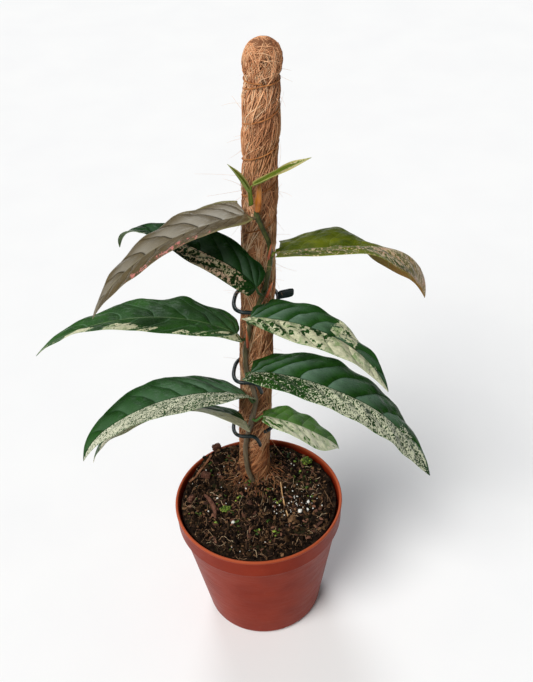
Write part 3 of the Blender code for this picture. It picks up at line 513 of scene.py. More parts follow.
def grain_material(name, stops, scale, rough=0.9, spec=0.2, bump=0.5, dist=0.0004, attr="fc", shade=None, spread=0.35):
    """colour picked per grain by attribute fc, broken up by noise"""
    g = Graph(name, rough, spec)
    p = g.obj()
    f = g.math("ADD", g.attr(attr), g.span(g.noise(p, scale, 3.0), 0.2, 0.8, -spread / 2, spread / 2), clamp=True)
    color = g.ramp(f, stops)
    if shade:
        color = g.mix(g.attr(shade), color, (0, 0, 0))
    n = g.bump(g.noise(p, scale * 3, 4.0, 0.7), bump, dist)
    return g.end(color, None, n)


# ---- leaves ---------------------------------------------------------------------------------------
stem_ctrl = [pole_point((STEM_OUT + e) * math.cos(math.radians(a)), (STEM_OUT + e) * math.sin(math.radians(a)), h)
             for a, h, e in STEM_PATH]


def stem_line(per):
    path = catmull(stem_ctrl, per)
    for p in path:
        ax = pole_point(0, 0, p[2] - POT_H)
        d = p[:2] - ax[:2]
        k = np.linalg.norm(d)
        if k < STEM_OUT:
            p[:2] = ax[:2] + d / k * STEM_OUT
    return path


stem_path = stem_line(2)
stem_fine = stem_line(8)


class Leaf:
    def __init__(self, spec):
        (hub, self.L, self.W, az, turn, self.pitch, self.roll, self.fold, self.curl, self.pw, self.far, self.node, self.lf, self.ln, self.ef) = spec
        self.hub = np.array([hub[0], hub[1], POT_H + hub[2]], float)
        n = 61
        t = np.linspace(0, 1, n)
        th = np.radians(along(self.pitch, t))
        ph = np.radians(az + turn * t ** 1.5)
        T = np.stack([np.cos(th) * np.cos(ph), np.cos(th) * np.sin(ph), np.sin(th)], -1)
        S = np.stack([-np.sin(ph), np.cos(ph), 0 * ph], -1)
        N = np.cross(T, S)
        ro = np.radians(along(self.roll, t))[:, None]
        self.t, self.T = t, T
        self.S = S * np.cos(ro) + N * np.sin(ro)
        self.N = N * np.cos(ro) - S * np.sin(ro)
        M = np.zeros((n, 3))
        M[1:] = np.cumsum((T[1:] + T[:-1]) / 2, 0) * (t[1] - t[0]) * self.L
        self.M = M + self.hub

    def at(self, x):
        q = np.clip(x, 0, 1)
        f = lambda a: np.stack([np.interp(q, self.t, a[:, k]) for k in range(3)], -1)
        T = f(self.T)
        return f(self.M) + T * ((x - q) * self.L)[..., None], T, f(self.S), f(self.N)

    def flat(self, s, v, side):
        """(mm along, mm across) of a point of the blade"""
        X = pchip(KS, KX, s)
        Y = pchip(KS, KY, s ** self.pw)
        lobe = self.lf if side == self.far else self.ln
        d = np.where(X < s, (X - s) * (1 + (lobe - 1) * np.clip(1 - s / 0.10, 0, 1)), X - s)
        d = np.maximum(d, -1.1 * Y * self.W / self.L)
        return s + d * v, Y * v * self.W

    def angle(self, x, v, side):
        q = np.clip(x, 0, 1)
        a = np.radians(along(self.fold, q)) - np.radians(self.curl) * v * 0.5
        if side == self.far:
            a = a + np.radians(self.ef) * np.exp(-q / 0.13)
        return a

    def blade(self, s, v, side, lift=0.0):
        """point, and the normal used for thickness"""
        x, y = self.flat(s, v, side)
        m, T, S, N = self.at(x)
        a = self.angle(x, v, side)
        n = N * np.cos(a)[..., None] - S * (side * np.sin(a))[..., None]
        p = m + S * (side * y * np.cos(a))[..., None] + N * (y * np.sin(a))[..., None]
        p = p + n * np.asarray(lift)[..., None]
        ax = POLE_X + POLE_LEAN * (p[..., 2] - POT_H)
        dx, dy = p[..., 0] - ax, p[..., 1] - POLE_Y
        dd = np.hypot(dx, dy)
        nd = LEAF_CLEAR + 0.6 * np.logaddexp(0, (dd - LEAF_CLEAR) / 0.6)
        p[..., 0] = ax + dx * nd / dd
        p[..., 1] = POLE_Y + dy * nd / dd
        z = p[..., 2]
        cx, cy = np.interp(z, stem_path[:, 2], stem_path[:, 0]), np.interp(z, stem_path[:, 2], stem_path[:, 1])
        ax = POLE_X + POLE_LEAN * (z - POT_H)
        nx, ny = cx - ax, cy - POLE_Y
        k = np.hypot(nx, ny)
        nx, ny = nx / k, ny / k
        a = (p[..., 0] - cx) * nx + (p[..., 1] - cy) * ny
        b = -(p[..., 0] - cx) * ny + (p[..., 1] - cy) * nx
        req = STEM_CLEAR - 1.4 * np.maximum(0, abs(b) - 4.5)
        push = np.where((req > -8.0) & (z < POT_H + 238), req + 0.5 * np.logaddexp(0, (a - req) / 0.5) - a, 0.0)
        p[..., 0] += nx * push
        p[..., 1] += ny * push
        return p, n


def bezier(p0, p1, p2, p3, n):
    t = np.linspace(0, 1, n)[:, None]
    return (1 - t) ** 3 * p0 + 3 * (1 - t) ** 2 * t * p1 + 3 * (1 - t) * t * t * p2 + t ** 3 * p3


def stem_at(h):
    z = POT_H + h
    return np.array([np.interp(z, stem_path[:, 2], stem_path[:, k]) for k in (0, 1)] + [z])


# variegation: start level of the near and of the far half, then (half, s0, s1, v0, v1, amount, softness s, softness v)
STYLE = {
    "leaf_bronze_left": dict(n=6.9, quilt=1.35, bias=(-0.75, -0.95), spots=[("near", 0.22, 0.66, 0.66, 1.1, 0.62, 0.08, 0.10)]),
    "leaf_dark_left": dict(n=7, quilt=1.25, bias=(-0.06, -0.80), spots=[("near", -0.1, 0.10, -1, 2, -0.55, 0.05, 1), ("near", 0.60, 1.2, -1, 2, -0.25, 0.08, 1), ("near", 0.1, 0.5, -1, 0.4, 0.10, 0.1, 0.1)]),
    "leaf_upper_right": dict(n=6.5, quilt=0.85, bias=(-0.16, -0.85), spots=[("near", 0.40, 1.2, -1, 1.2, 0.14, 0.1, 1), ("near", -0.1, 0.18, -1, 2, -0.10, 0.06, 1), ("far", 0.80, 1.2, 0.5, 1.2, 0.45, 0.06, 0.1)]),
    "leaf_middle_left": dict(n=7, quilt=1.25, bias=(-0.72, -0.85), spots=[("near", -0.1, 0.17, 0.45, 1.2, 0.72, 0.06, 0.12), ("near", 0.17, 0.34, 0.70, 1.2, 0.52, 0.05, 0.10), ("near", 0.37, 0.46, 0.60, 1.2, 0.72, 0.03, 0.12), ("near", 0.47, 0.58, 0.40, 1.2, 0.86, 0.03, 0.14),
                                                                               ("near", 0.62, 0.77, 0.35, 1.2, 0.95, 0.03, 0.16), ("near", 0.77, 1.0, 0.60, 1.2, 0.60, 0.04, 0.12)]),
    "leaf_middle_right": dict(n=7, quilt=1.20, bias=(0.31, -0.85), spots=[("far", 0.47, 0.66, 0.10, 1.2, 1.02, 0.030, 0.10), ("far", 0.66, 0.90, -1, 0.45, 0.50, 0.04, 0.15),
                                                                               ("near", 0.12, 0.32, 0.45, 1.2, -0.32, 0.05, 0.15), ("near", 0.30, 0.56, -1, 0.40, -0.30, 0.05, 0.12), ("near", 0.56, 1.2, -1, 2, 0.12, 0.08, 1)]),
    "leaf_big_right": dict(n=7.6, quilt=1.25, bias=(0.00, -0.85), spots=[("near", 0.08, 0.30, 0.20, 1.2, -0.28, 0.05, 0.12), ("near", -0.1, 0.10, -1, 2, 0.06, 0.04, 1), ("near", 0.42, 0.9, 0.40, 1.2, 0.05, 0.1, 0.2), ("near", 0.86, 1.2, -1, 2, -0.12, 0.05, 1),
                                                                               ("far", 0.70, 0.95, -1, 0.55, 0.82, 0.05, 0.18), ("far", 0.86, 0.97, 0.3, 1.2, 0.55, 0.04, 0.2)]),
    "leaf_lower_left": dict(n=7.6, quilt=1.30, bias=(0.00, -0.85), spots=[("near", -0.1, 0.25, -1, 2, -0.06, 0.1, 1), ("near", 0.55, 1.2, -1, 2, 0.14, 0.2, 1)]),
    "leaf_back_left": dict(n=7, quilt=1.10, bias=(0.50, -0.80), spots=[("near", 0.82, 1.2, -1, 2, -0.6, 0.06, 1)]),
    "leaf_small_right": dict(n=6.5, quilt=0.90, bias=(0.24, -0.85), spots=[("near", 0.05, 0.22, 0.2, 1.2, -0.24, 0.04, 0.15), ("near", 0.5, 1.2, -1, 2, 0.10, 0.1, 1)]),
}


def leaf_grid(name, lf, style, nr, nh, seed, relief=1.0, half_t=0.22):
    """top and bottom sheets of a blade with impressed veins, as one closed body"""
    lin = np.linspace(0, 1, nr)
    s1 = 0.006 + 0.990 * (0.72 * lin + 0.28 * (0.5 - 0.5 * np.cos(math.pi * lin)))
    vh = np.linspace(0, 1, nh + 1)
    cols = [(1, v) for v in vh[::-1]] + [(-1, v) for v in vh[1:]]
    nc = len(cols)
    P, NN, X, YS, V, Q, BN, BF, H, RB = [], [], [], [], [], [], [], [], [], []
    wa, wb, wc = Waves(seed, 26.0, 2), Waves(seed + 1, 9.0, 2), Waves(seed + 2, 34.0, 1)
    n = style["n"]
    width = pchip(KS, KY, s1 ** lf.pw) * lf.W
    for side, v in cols:
        vv = np.full(nr, v)
        x, y = lf.flat(s1, vv, side)
        near = side != lf.far
        ys = y if near else -y
        bend = 0.235 * v ** 1.55 * (0.50 + 0.50 * (1 - x))
        q = n * np.sign(x - bend) * abs(x - bend) ** 0.88 + 0.05 * wa(x * lf.L, np.full(nr, ys) if np.isscalar(ys) else ys)
        ph = q + (0.46 if near else 0.0)
        fr = abs((ph + 0.5) % 1.0 - 0.5) * 2                 # 0 on a vein, 1 between
        env = smooth(0.0, 0.16, vv) * (1 - (0.92 if near else 0.70) * smooth(0.66, 1.0, vv)) * smooth(0.0, 0.06, s1) * (1 - smooth(0.84, 1.0, s1))
        env *= np.clip(width / 12.0, 0, 1)
        pillow = style["quilt"] * relief * (np.clip(fr, 0, 1) ** 0.62 - 0.60) * env
        ripple = 0.16 * relief * wb(x * lf.L, ys) * env
        edge = (0.35 if near else 0.7) * relief * wc(x * lf.L + (400 if near else 0)) * v ** 3 * np.clip(width / 14.0, 0, 1) * (1 - smooth(0.88, 1.0, s1))
        groove = -0.35 * relief * np.exp(-(y / 0.9) ** 2) * (1 - s1)
        lift = pillow + ripple + edge + groove
        p, nn = lf.blade(s1, vv, side, lift)
        bn, bf = np.full(nr, style["bias"][0]), np.full(nr, style["bias"][1])
        for half, sa, sb, va, vb, amt, fs, fv in style["spots"]:
            w = window(s1, sa, sb, fs) * window(vv, va, vb, fv) * amt
            if half == "near":
                bn = bn + w
            else:
                bf = bf + w
        P.append(p); NN.append(nn); X.append(x * lf.L); YS.append(ys); V.append(vv); Q.append(q); BN.append(bn); BF.append(bf)
        RB.append(0.75 * (1 - s1) ** 0.8 * np.exp(-(y / 1.0) ** 2))
        H.append(np.full(nr, half_t * (1 - 0.65 * v ** 6)))
    st = lambda a: np.stack(a, 1)
    P, NN, X, YS, V, Q, BN, BF, H, RB = map(st, (P, NN, X, YS, V, Q, BN, BF, H, RB))
    thick = np.minimum(H, 0.05 + 0.20 * width[:, None])
    top = P + NN * thick[..., None]
    bot = P - NN * (thick + RB * np.clip(width / 6.0, 0, 1)[:, None])[..., None]
    S1 = np.repeat(s1[:, None], nc, 1)
    verts = np.concatenate([top.reshape(-1, 3), bot.reshape(-1, 3)])
    k = nr * nc
    f = grid_faces(nr, nc)
    i = np.arange(nr - 1) * nc
    e0 = np.stack([i, i + nc, i + nc + k, i + k], -1)
    e1 = np.stack([i + nc - 1, i + nc - 1 + k, i + 2 * nc - 1 + k, i + 2 * nc - 1], -1)
    j = np.arange(nc - 1)
    r0 = np.stack([j, j + k, j + 1 + k, j + 1], -1)
    b = (nr - 1) * nc
    r1 = np.stack([b + j, b + j + 1, b + j + 1 + k, b + j + k], -1)
    un = np.r_[np.zeros(k), np.ones(k)]
    two = lambda a: np.r_[a.ravel(), a.ravel()]
    attrs = {
        "la": np.stack([two(Q), two(YS), two(S1)], -1),
        "lb": np.stack([two(BN), two(BF), un], -1),
        "lm": np.stack([two(X), two(YS), two(V)], -1),
    }
    return verts, [f, f[:, ::-1] + k, e0, e1, r0, r1], attrs


def make_leaf(name, spec, material, nr=140, nh=26, seed=1, slot="leaf"):
    lf = Leaf(spec)
    verts, faces, attrs = leaf_grid(name, lf, STYLE[name], nr, nh, seed)
    # stalk
    c = stem_at(lf.node)
    ax = pole_point(0, 0, lf.node)
    out = np.array([c[0] - ax[0], c[1] - ax[1], 0.0])
    out /= np.linalg.norm(out)
    d = lf.hub - c
    d[2] = 0.0
    d = d / np.linalg.norm(d) + out * 0.7
    d /= np.linalg.norm(d)
    start = c + d * (STEM_R + GAP - 0.9)
    hub = lf.blade(np.array([0.0]), np.array([0.0]), 1)[0][0]
    reach = np.linalg.norm(hub - start)
    tip = hub + lf.T[0] * 3.0 - lf.N[0] * 0.55
    back = hub - lf.T[0] * 0.3 - lf.N[0] * 0.30
    pts = bezier(start, start + d * reach * 0.40, back - (lf.T[0] * 0.75 + lf.N[0] * 0.65) * reach * 0.33, back, 20)
    pts = np.vstack([pts, (back + tip) / 2, tip])
    k = len(pts)
    t = np.linspace(0, 1, k)
    rad = PETIOLE_R * (1.0 - 0.12 * t + 0.30 * np.exp(-(t / 0.07) ** 2)) * (1 - 0.75 * smooth(0.86, 1.0, t))
    sv, sq, stri = tubes(pts[None], rad[None], 12)
    m, n0 = len(sv), len(verts)
    verts = np.concatenate([verts, sv])
    faces = faces + [sq + n0, stri + n0]
    tt = np.repeat(t, 12)
    attrs["la"] = np.concatenate([attrs["la"], np.stack([np.full(m, 0.25), np.full(m, 5.0), tt * 0.0], -1)])
    attrs["lb"] = np.concatenate([attrs["lb"], np.stack([np.full(m, -0.9), np.full(m, -0.9), np.full(m, 0.25)], -1)])
    attrs["lm"] = np.concatenate([attrs["lm"], np.stack([tt * reach, np.full(m, 3.0), np.full(m, 0.5)], -1)])
    return build(name + "_skin", verts, faces, material, node=name, slot=slot, attrs=attrs)


DARK, MID = (0.008, 0.037, 0.004), (0.019, 0.080, 0.009)
CREAM = (0.74, 0.72, 0.47)
SAGE = (0.17, 0.27, 0.10)
UNDER = (0.13, 0.20, 0.08)
# colour of the painted sheen on the right-hand leaves
SHEEN_BLUE = (0.17, 0.275, 0.205)
LEAF_MATS = {
    "leaf_bronze_left": leaf_material("skin_bronze", (0.074, 0.052, 0.019), (0.112, 0.080, 0.032), (0.56, 0.20, 0.17), (0.026, 0.019, 0.006), (0.20, 0.18, 0.10), 1.0,
                                      fleck=(0.25, 0.6, 0.5), panel_sheen=0.35, rough=0.32, vein_mix=0.90, spec=0.20, midrib=(0.22, 0.20, 0.13), vein_wide=0.045,
                                      dry=((0.27, 0.27, 0.08), 0.84, 0.36, 0.0), painted_sheen=((0.42, 0.40, 0.35), 0.62, -1)),
    "leaf_dark_left": leaf_material("skin_dark", (0.004, 0.022, 0.003), (0.011, 0.048, 0.007), (0.68, 0.60, 0.38), (0.003, 0.014, 0.003), UNDER, 2.0,
                                    fleck=(0.40, 0.7, 0.6), pink=(0.62, 0.40, 0.28), rough=0.27, vein_mix=0.6, grain=(4.6, 10.0), sage=(0.085, 0.115, 0.030), sage_mix=0.7,
                                    painted_sheen=((0.08, 0.14, 0.09), 0.55, -1)),
    "leaf_upper_right": leaf_material("skin_olive", (0.040, 0.062, 0.001), (0.125, 0.148, 0.002), (0.64, 0.50, 0.30), (0.16, 0.20, 0.04), (0.20, 0.21, 0.07), 3.0,
                                      fleck=(0.25, 0.7, 0.6), pink=(0.60, 0.36, 0.24), rough=0.34, vein_mix=0.25, grain=(4.6, 10.0), spec=0.05,
                                      tint=((0.34, 0.22, 0.10), 0.62, 0.95, 0.75), dry=((0.34, 0.10, 0.025), 0.90, 0.42, 0.65)),
    "leaf_middle_left": leaf_material("skin_middle_left", (0.009, 0.040, 0.003), (0.022, 0.088, 0.008), CREAM, (0.12, 0.22, 0.12), UNDER, 4.0,
                                      fleck=(0.95, 0.45, 0.35), rough=0.30, stretch=0.05, midrib=(0.16, 0.24, 0.10), vein_mix=0.40, sage=SAGE, sage_mix=0.6,
                                      painted_sheen=((0.07, 0.14, 0.07), 0.45, -1)),
    "leaf_middle_right": leaf_material("skin_middle_right", (0.010, 0.044, 0.007), (0.024, 0.085, 0.016), (0.76, 0.76, 0.52), (0.006, 0.028, 0.006), UNDER, 5.0,
                                       fleck=(0.50, 0.75, 0.60), rough=0.28, stretch=0.07, grain=(2.8, 7.5), sage=(0.26, 0.38, 0.16), sage_mix=0.85,
                                       painted_sheen=(SHEEN_BLUE, 0.75, 1)),
    "leaf_big_right": leaf_material("skin_big_right", DARK, MID, (0.76, 0.78, 0.56), (0.004, 0.022, 0.004), UNDER, 6.0,
                                    fleck=(0.06, 1.00, 0.45), rough=0.28, sharp=12.0, grain=(5.0, 10.0), worm=1.8, painted_sheen=(SHEEN_BLUE, 0.75, 1)),
    "leaf_lower_left": leaf_material("skin_lower_left", DARK, (0.018, 0.072, 0.012), (0.70, 0.70, 0.52), (0.005, 0.024, 0.005), UNDER, 7.0,
                                     fleck=(0.12, 0.85, 0.9), rough=0.30, sharp=10.0, grain=(7.0, 13.0), worm=1.2, painted_sheen=((0.085, 0.165, 0.09), 0.80, -1), vein_mix=0.55),
    "leaf_back_left": leaf_material("skin_back_left", DARK, MID, (0.90, 0.84, 0.60), (0.08, 0.15, 0.08), (0.86, 0.80, 0.54), 8.0,
                                    fleck=(0.60, 0.30, 0.20), rough=0.34),
    "leaf_small_right": leaf_material("skin_small_right", (0.034, 0.110, 0.012), (0.082, 0.205, 0.026), (0.86, 0.84, 0.62), (0.20, 0.32, 0.12), UNDER, 9.0,
                                      fleck=(0.75, 0.60, 0.30), rough=0.33, grain=(3.0, 8.0), sage=(0.30, 0.42, 0.18), sage_mix=0.5, vein_mix=0.5,
                                      painted_sheen=((0.17, 0.30, 0.12), 0.6, 1)),
}
for i, (name, spec) in enumerate(LEAVES.items()):
    make_leaf(name, spec, LEAF_MATS[name], nr=100 if spec[1] < 80 else 150, seed=20 + 7 * i, slot="young_leaf" if "bronze" in name else "leaf")

# ---- the two youngest leaves ------------------------------------------------------------------------
STYLE["young_leaf_left"] = dict(n=7, quilt=0.25, bias=(-0.5, -0.7), spots=[])
STYLE["young_leaf_right"] = dict(n=9, quilt=0.30, bias=(-0.35, -0.6), spots=[("near", 0.45, 1.2, -1, 2, 0.55, 0.1, 1), ("far", 0.6, 1.2, 0.3, 2, 0.6, 0.1, 0.2)])
fresh = leaf_material("skin_fresh", (0.050, 0.090, 0.006), (0.135, 0.190, 0.016), (0.66, 0.56, 0.32), (0.26, 0.34, 0.07), (0.20, 0.26, 0.06), 10.0,
                      fleck=(0.3, 0.6, 0.5), rough=0.36, vein_mix=0.5, grain=(6.0, 12.0), dry=((0.52, 0.47, 0.17), 0.45, -0.2, 0.2))
for i, (name, spec) in enumerate(YOUNG.items()):
    lf = Leaf(spec[:15])
    verts, faces, attrs = leaf_grid(name, lf, STYLE[name], 70, 9, 90 + i, relief=0.6, half_t=0.20)
    foot = np.array([spec[15][0], spec[15][1], POT_H + spec[15][2]])
    back = lf.hub - lf.T[0] * 0.1
    pts = bezier(foot, foot + (lf.hub - foot) * 0.4, back - lf.T[0] * 2.5, back, 14)
    rad = np.interp(np.linspace(0, 1, 14), [0, 0.6, 1], [0.85, 0.75, 0.35])
    sv, sq, stri = tubes(pts[None], rad[None], 12)
    m, n0 = len(sv), len(verts)
    attrs["la"] = np.concatenate([attrs["la"], np.tile([0.25, 5.0, 0.0], (m, 1))])
    attrs["lb"] = np.concatenate([attrs["lb"], np.tile([-0.9, -0.9, 0.2], (m, 1))])
    attrs["lm"] = np.concatenate([attrs["lm"], np.tile([1.0, 3.0, 0.5], (m, 1))])
    build(name + "_skin", np.concatenate([verts, sv]), faces + [sq + n0, stri + n0], fresh, node=name, slot="fresh_leaf", attrs=attrs)


# ---- stem: green above, woody below, swollen at every stalk -------------------------------------------
g = Graph("stem_bark", 0.55, 0.35)
p = g.obj()
_, _, hz = g.xyz(p)
age = g.span(g.math("ADD", hz, g.span(g.noise(p, 0.9, 3.0), 0.3, 0.7, -1.6, 1.6)), 20.0, 28.5)
woody = g.mix(g.span(g.noise(g.add("ShaderNodeVectorMath", 0, {"operation": "MULTIPLY"}, {0: p, 1: (2.2, 2.2, 0.5)}), 3.0, 4.0), 0.35, 0.65), (0.075, 0.055, 0.030), (0.165, 0.125, 0.075))
green = g.mix(g.span(g.noise(p, 3.0, 3.0), 0.35, 0.65), (0.036, 0.048, 0.009), (0.085, 0.098, 0.022))
color = g.mix(age, woody, green)
color = g.mix(g.span(g.cells(p, 7.0), 0.10, 0.16, 0.6, 0.0), color, (0.24, 0.19, 0.12))
stem_mat = g.end(color, 0.55, g.bump(g.noise(g.add("ShaderNodeVectorMath", 0, {"operation": "MULTIPLY"}, {0: p, 1: (1, 1, 0.35)}), 14.0, 4.0), 0.5, 0.0004))

tip = stem_fine[-1] + (stem_fine[-1] - stem_fine[-6]) / np.linalg.norm(stem_fine[-1] - stem_fine[-6]) * 2.6
path = resample(np.vstack([stem_fine, tip]), 420)
hh = path[:, 2] - POT_H
t = np.linspace(0, 1, len(path))
rad = STEM_R * (0.86 - 0.16 * t) * (1 - 0.50 * smooth(0.978, 1.0, t))
for spec in LEAVES.values():
    rad = rad + 0.42 * np.exp(-((hh - spec[11]) / 2.2) ** 2) - 0.10 * np.exp(-((hh - spec[11] - 4.2) / 0.7) ** 2)
rad = np.minimum(rad, STEM_R + GAP * 0.8) * (1 + 0.025 * Waves(5, 12.0, 1)(hh))
sv, sq, stri = tubes(path[None], rad[None], 16)
build("main_stem_skin", sv, [sq, stri], stem_mat, node="main_stem", slot="stem")


# ---- coir pole --------------------------------------------------------------------------------------
def thread_h(u):
    return np.where(u < 0, 308.0 - 1.2 * u, 308.0 - 19.6 * u - 0.75 * u * u)


def pole_radius(ang, h):
    """outside of the wound fibre at compass angle ang (radians) and height h: waisted under each turn of thread"""
    r = np.interp(h, [-70, -68, -60, 20, 302, 306, 310, 314, 319, 324, 328, 330.3, 331], [9.4, 10.2, 10.4, 10.4, 10.2, 10.0, 10.0, 10.6, 10.75, 10.1, 8.4, 5.4, 2.2])
    frac = ((-90.0 - np.degrees(ang)) / 360.0) % 1.0
    w = np.zeros(np.broadcast(ang, h).shape)
    for k in range(-1, 5):
        u = frac + k
        th = thread_h(u)
        w = w + np.where(u <= 4.25, np.exp(-((h - th) / 2.6) ** 2), 0.0)
    bulge = 0.22 * np.sin(h / 9.0 + 1.0) + 0.18 * np.sin(h / 5.3 + 2 * np.sin(ang))
    return r + 0.30 * (h < 306) - 1.05 * np.clip(w, 0, 1) + bulge * (h < 312)


rng = np.random.default_rng(11)
NA, NH = 72, 300
ang = np.linspace(0, 2 * math.pi, NA, endpoint=False)
ph = np.concatenate([np.linspace(POLE_BOTTOM + 0.5, 310, NH - 30), 310 + 20.9 * np.sin(np.linspace(0.04, math.pi / 2, 30))])
A, Hh = np.meshgrid(ang, ph)
lump = Waves(31, 7.0, 3)
R = pole_radius(A, Hh) - 0.75
R = np.maximum(R + 0.28 * lump(10 * np.cos(A), 10 * np.sin(A), Hh * 0.35) * (Hh < 325), 0.3)
vx = POLE_X + POLE_LEAN * Hh + R * np.cos(A)
vy = POLE_Y + R * np.sin(A)
core = np.stack([vx, vy, POT_H + Hh], -1).reshape(-1, 3)
core = np.vstack([core, pole_point(0, 0, POLE_BOTTOM + 0.5), pole_point(0, 0, 330.7)])
f = grid_faces(NH, NA, True)
j = np.arange(NA)
c0 = np.stack([np.full(NA, NH * NA), (j + 1) % NA, j], -1)
c1 = np.stack([np.full(NA, NH * NA + 1), (NH - 1) * NA + j, (NH - 1) * NA + (j + 1) % NA], -1)
g = Graph("coir_under", 0.95, 0.15)
p = g.obj()
ps = g.add("ShaderNodeVectorMath", 0, {"operation": "MULTIPLY"}, {0: p, 1: (1.0, 1.0, 0.16)})
st = g.noise(ps, 9.0, 4.0, 0.7)
color = g.ramp(st, [(0.30, (0.16, 0.058, 0.026)), (0.50, (0.44, 0.190, 0.090)), (0.68, (0.72, 0.400, 0.220))])
_, _, hz = g.xyz(p)
color = g.mix(g.span(hz, 10.0, 24.0, 0.62, 0.0), color, (0.060, 0.020, 0.008))
# painted shade: the core is darkened from just below the top turn of the thread upwards, under the head fibres
color = g.mix(g.span(hz, 40.5, 41.6, 0.0, 0.55), color, (0.10, 0.035, 0.014))
coir_core = g.end(color, 0.95, g.bump(st, 0.9, 0.0008))
build("coir_pole_core", core, [f, c0, c1], coir_core, node="coir_pole", slot="coir")


def fibre_mesh(name, starts, heads, lengths, rr, offs, seed, steps, lean_wander=0.25, sides=3, lift_end=0.0):
    """fibres that walk over the surface of the pole: starts (m,2) = angle, height; heads = direction measured from +Z"""
    r = np.random.default_rng(seed)
    m = len(starts)
    a0, h0 = starts[:, 0], starts[:, 1]
    out = np.empty((m, steps, 3))
    c = np.array([0.0, 0.0, 320.3])
    dome = h0 > 318.0
    R0 = np.where(dome, 10.6, pole_radius(a0, h0)) + offs
    el = np.clip((h0 - 320.3) / 10.6, -0.3, 1.0)
    p = np.stack([R0 * np.cos(a0), R0 * np.sin(a0), h0], -1)
    p[dome] = (c + np.stack([np.cos(a0) * np.sqrt(np.clip(1 - el ** 2, 0, 1)), np.sin(a0) * np.sqrt(np.clip(1 - el ** 2, 0, 1)), el], -1) * R0[:, None])[dome]
    eh = np.stack([-np.sin(a0), np.cos(a0), 0 * a0], -1)
    rad = np.stack([np.cos(a0), np.sin(a0), 0 * a0], -1)
    upv = np.where(dome[:, None], np.cross(rad * np.sqrt(np.clip(1 - el ** 2, 0, 1))[:, None] + np.array([0, 0, 1.0]) * el[:, None], eh), np.array([0, 0, 1.0]))
    d = eh * np.sin(heads)[:, None] + upv * np.cos(heads)[:, None]
    step = lengths / (steps - 1)
    curve = r.normal(0, lean_wander, m)
    phase, amp = r.uniform(0, 6.28, m), r.uniform(0.1, 0.45, m)
    for i in range(steps):
        out[:, i] = p
        t = i / (steps - 1)
        p = p + d * step[:, None]
        ax = np.where((p[:, 2] > 319.0)[:, None], c, np.stack([0 * p[:, 0], 0 * p[:, 1], p[:, 2]], -1))
        rel = p - ax
        k = np.linalg.norm(rel, axis=1, keepdims=True)
        nrm = rel / k
        aa = np.arctan2(p[:, 1], p[:, 0])
        body = pole_radius(aa, p[:, 2])
        target = np.where(p[:, 2] > 319.0, 10.6, body) + offs + amp * np.sin(phase + 5.5 * t) * 0.6 + lift_end * t * t
        p = ax + nrm * target[:, None]
        p[:, 2] = np.where(ax[:, 2] == p[:, 2], p[:, 2], p[:, 2])
        d = d - nrm * (d * nrm).sum(1, keepdims=True)
        side = np.cross(nrm, d)
        d = d + side * (curve + 0.5 * lean_wander * np.sin(phase * 3 + 7 * t))[:, None] * 3.0 / steps
        d /= np.linalg.norm(d, axis=1, keepdims=True)
    h = out[..., 2].copy()
    out[..., 0] += POLE_X + POLE_LEAN * h
    out[..., 1] += POLE_Y
    out[..., 2] += POT_H
    tt = np.linspace(0, 1, steps)
    radii = rr[:, None] * (0.45 + 0.55 * np.sin(math.pi * np.clip(tt * 0.9 + 0.05, 0, 1)))[None] ** 0.6
    return out, radii


def strands(bag, out, radii, sides, fc, shade):
    v, q, t = tubes(out, radii, sides)
    per = out.shape[1] * sides
    bag.add(v, q, t, fc=np.repeat(fc, per), fs=np.repeat(shade, per))


# the fibre lies in combed tufts: every tuft shares a direction, a bend and a shade
bag = Bag()
tufts, each = 345, 9
m = tufts * each
rep = lambda x: np.repeat(x, each)
ta, th_ = rng.uniform(0, 2 * math.pi, tufts), rng.uniform(4, 304, tufts)
low = np.clip((95.0 - th_) / 60.0, 0, 1)
tl = rng.normal(math.radians(14), math.radians(8), tufts) * (1 + 1.5 * low)
tl = np.where(rng.uniform(0, 1, tufts) < 0.05 + 0.25 * low, rng.uniform(-1.2, 1.2, tufts), tl)
toff, tc = rng.uniform(-0.50, 0.25, tufts), rng.uniform(0.0, 1.0, tufts)
a0 = rep(ta) + rng.normal(0, 0.085, m)
h0 = np.clip(rep(th_) + rng.normal(0, 5.0, m), 2, 306)
off = rep(toff) + rng.uniform(-0.22, 0.22, m)
lean = rep(tl) + rng.normal(0, math.radians(3.5), m)
thick = rng.uniform(0.15, 0.34, m) * (1 + 0.25 * rep(low)) * np.where(rng.uniform(0, 1, m) < 0.12, 1.45, 1.0)
out, radii = fibre_mesh("body", np.stack([a0, h0], -1), lean, rng.uniform(16, 44, m), thick, off, 3, 8)
keep = out[:, :, 2].max(1) < POT_H + 322
# tone differs at random by tuft and by fibre, and is partly painted shade: fibres lying deeper get a darker tone
tone = np.clip(rep(tc) * 0.75 + rng.uniform(0, 0.36, m) - 0.05 + off * 0.25, 0, 1)
strands(bag, out[keep], radii[keep], 3, tone[keep], np.clip((0.02 - off) * (1.10 + 0.7 * rep(low)), 0, 0.60 + 0.22 * rep(low))[keep])
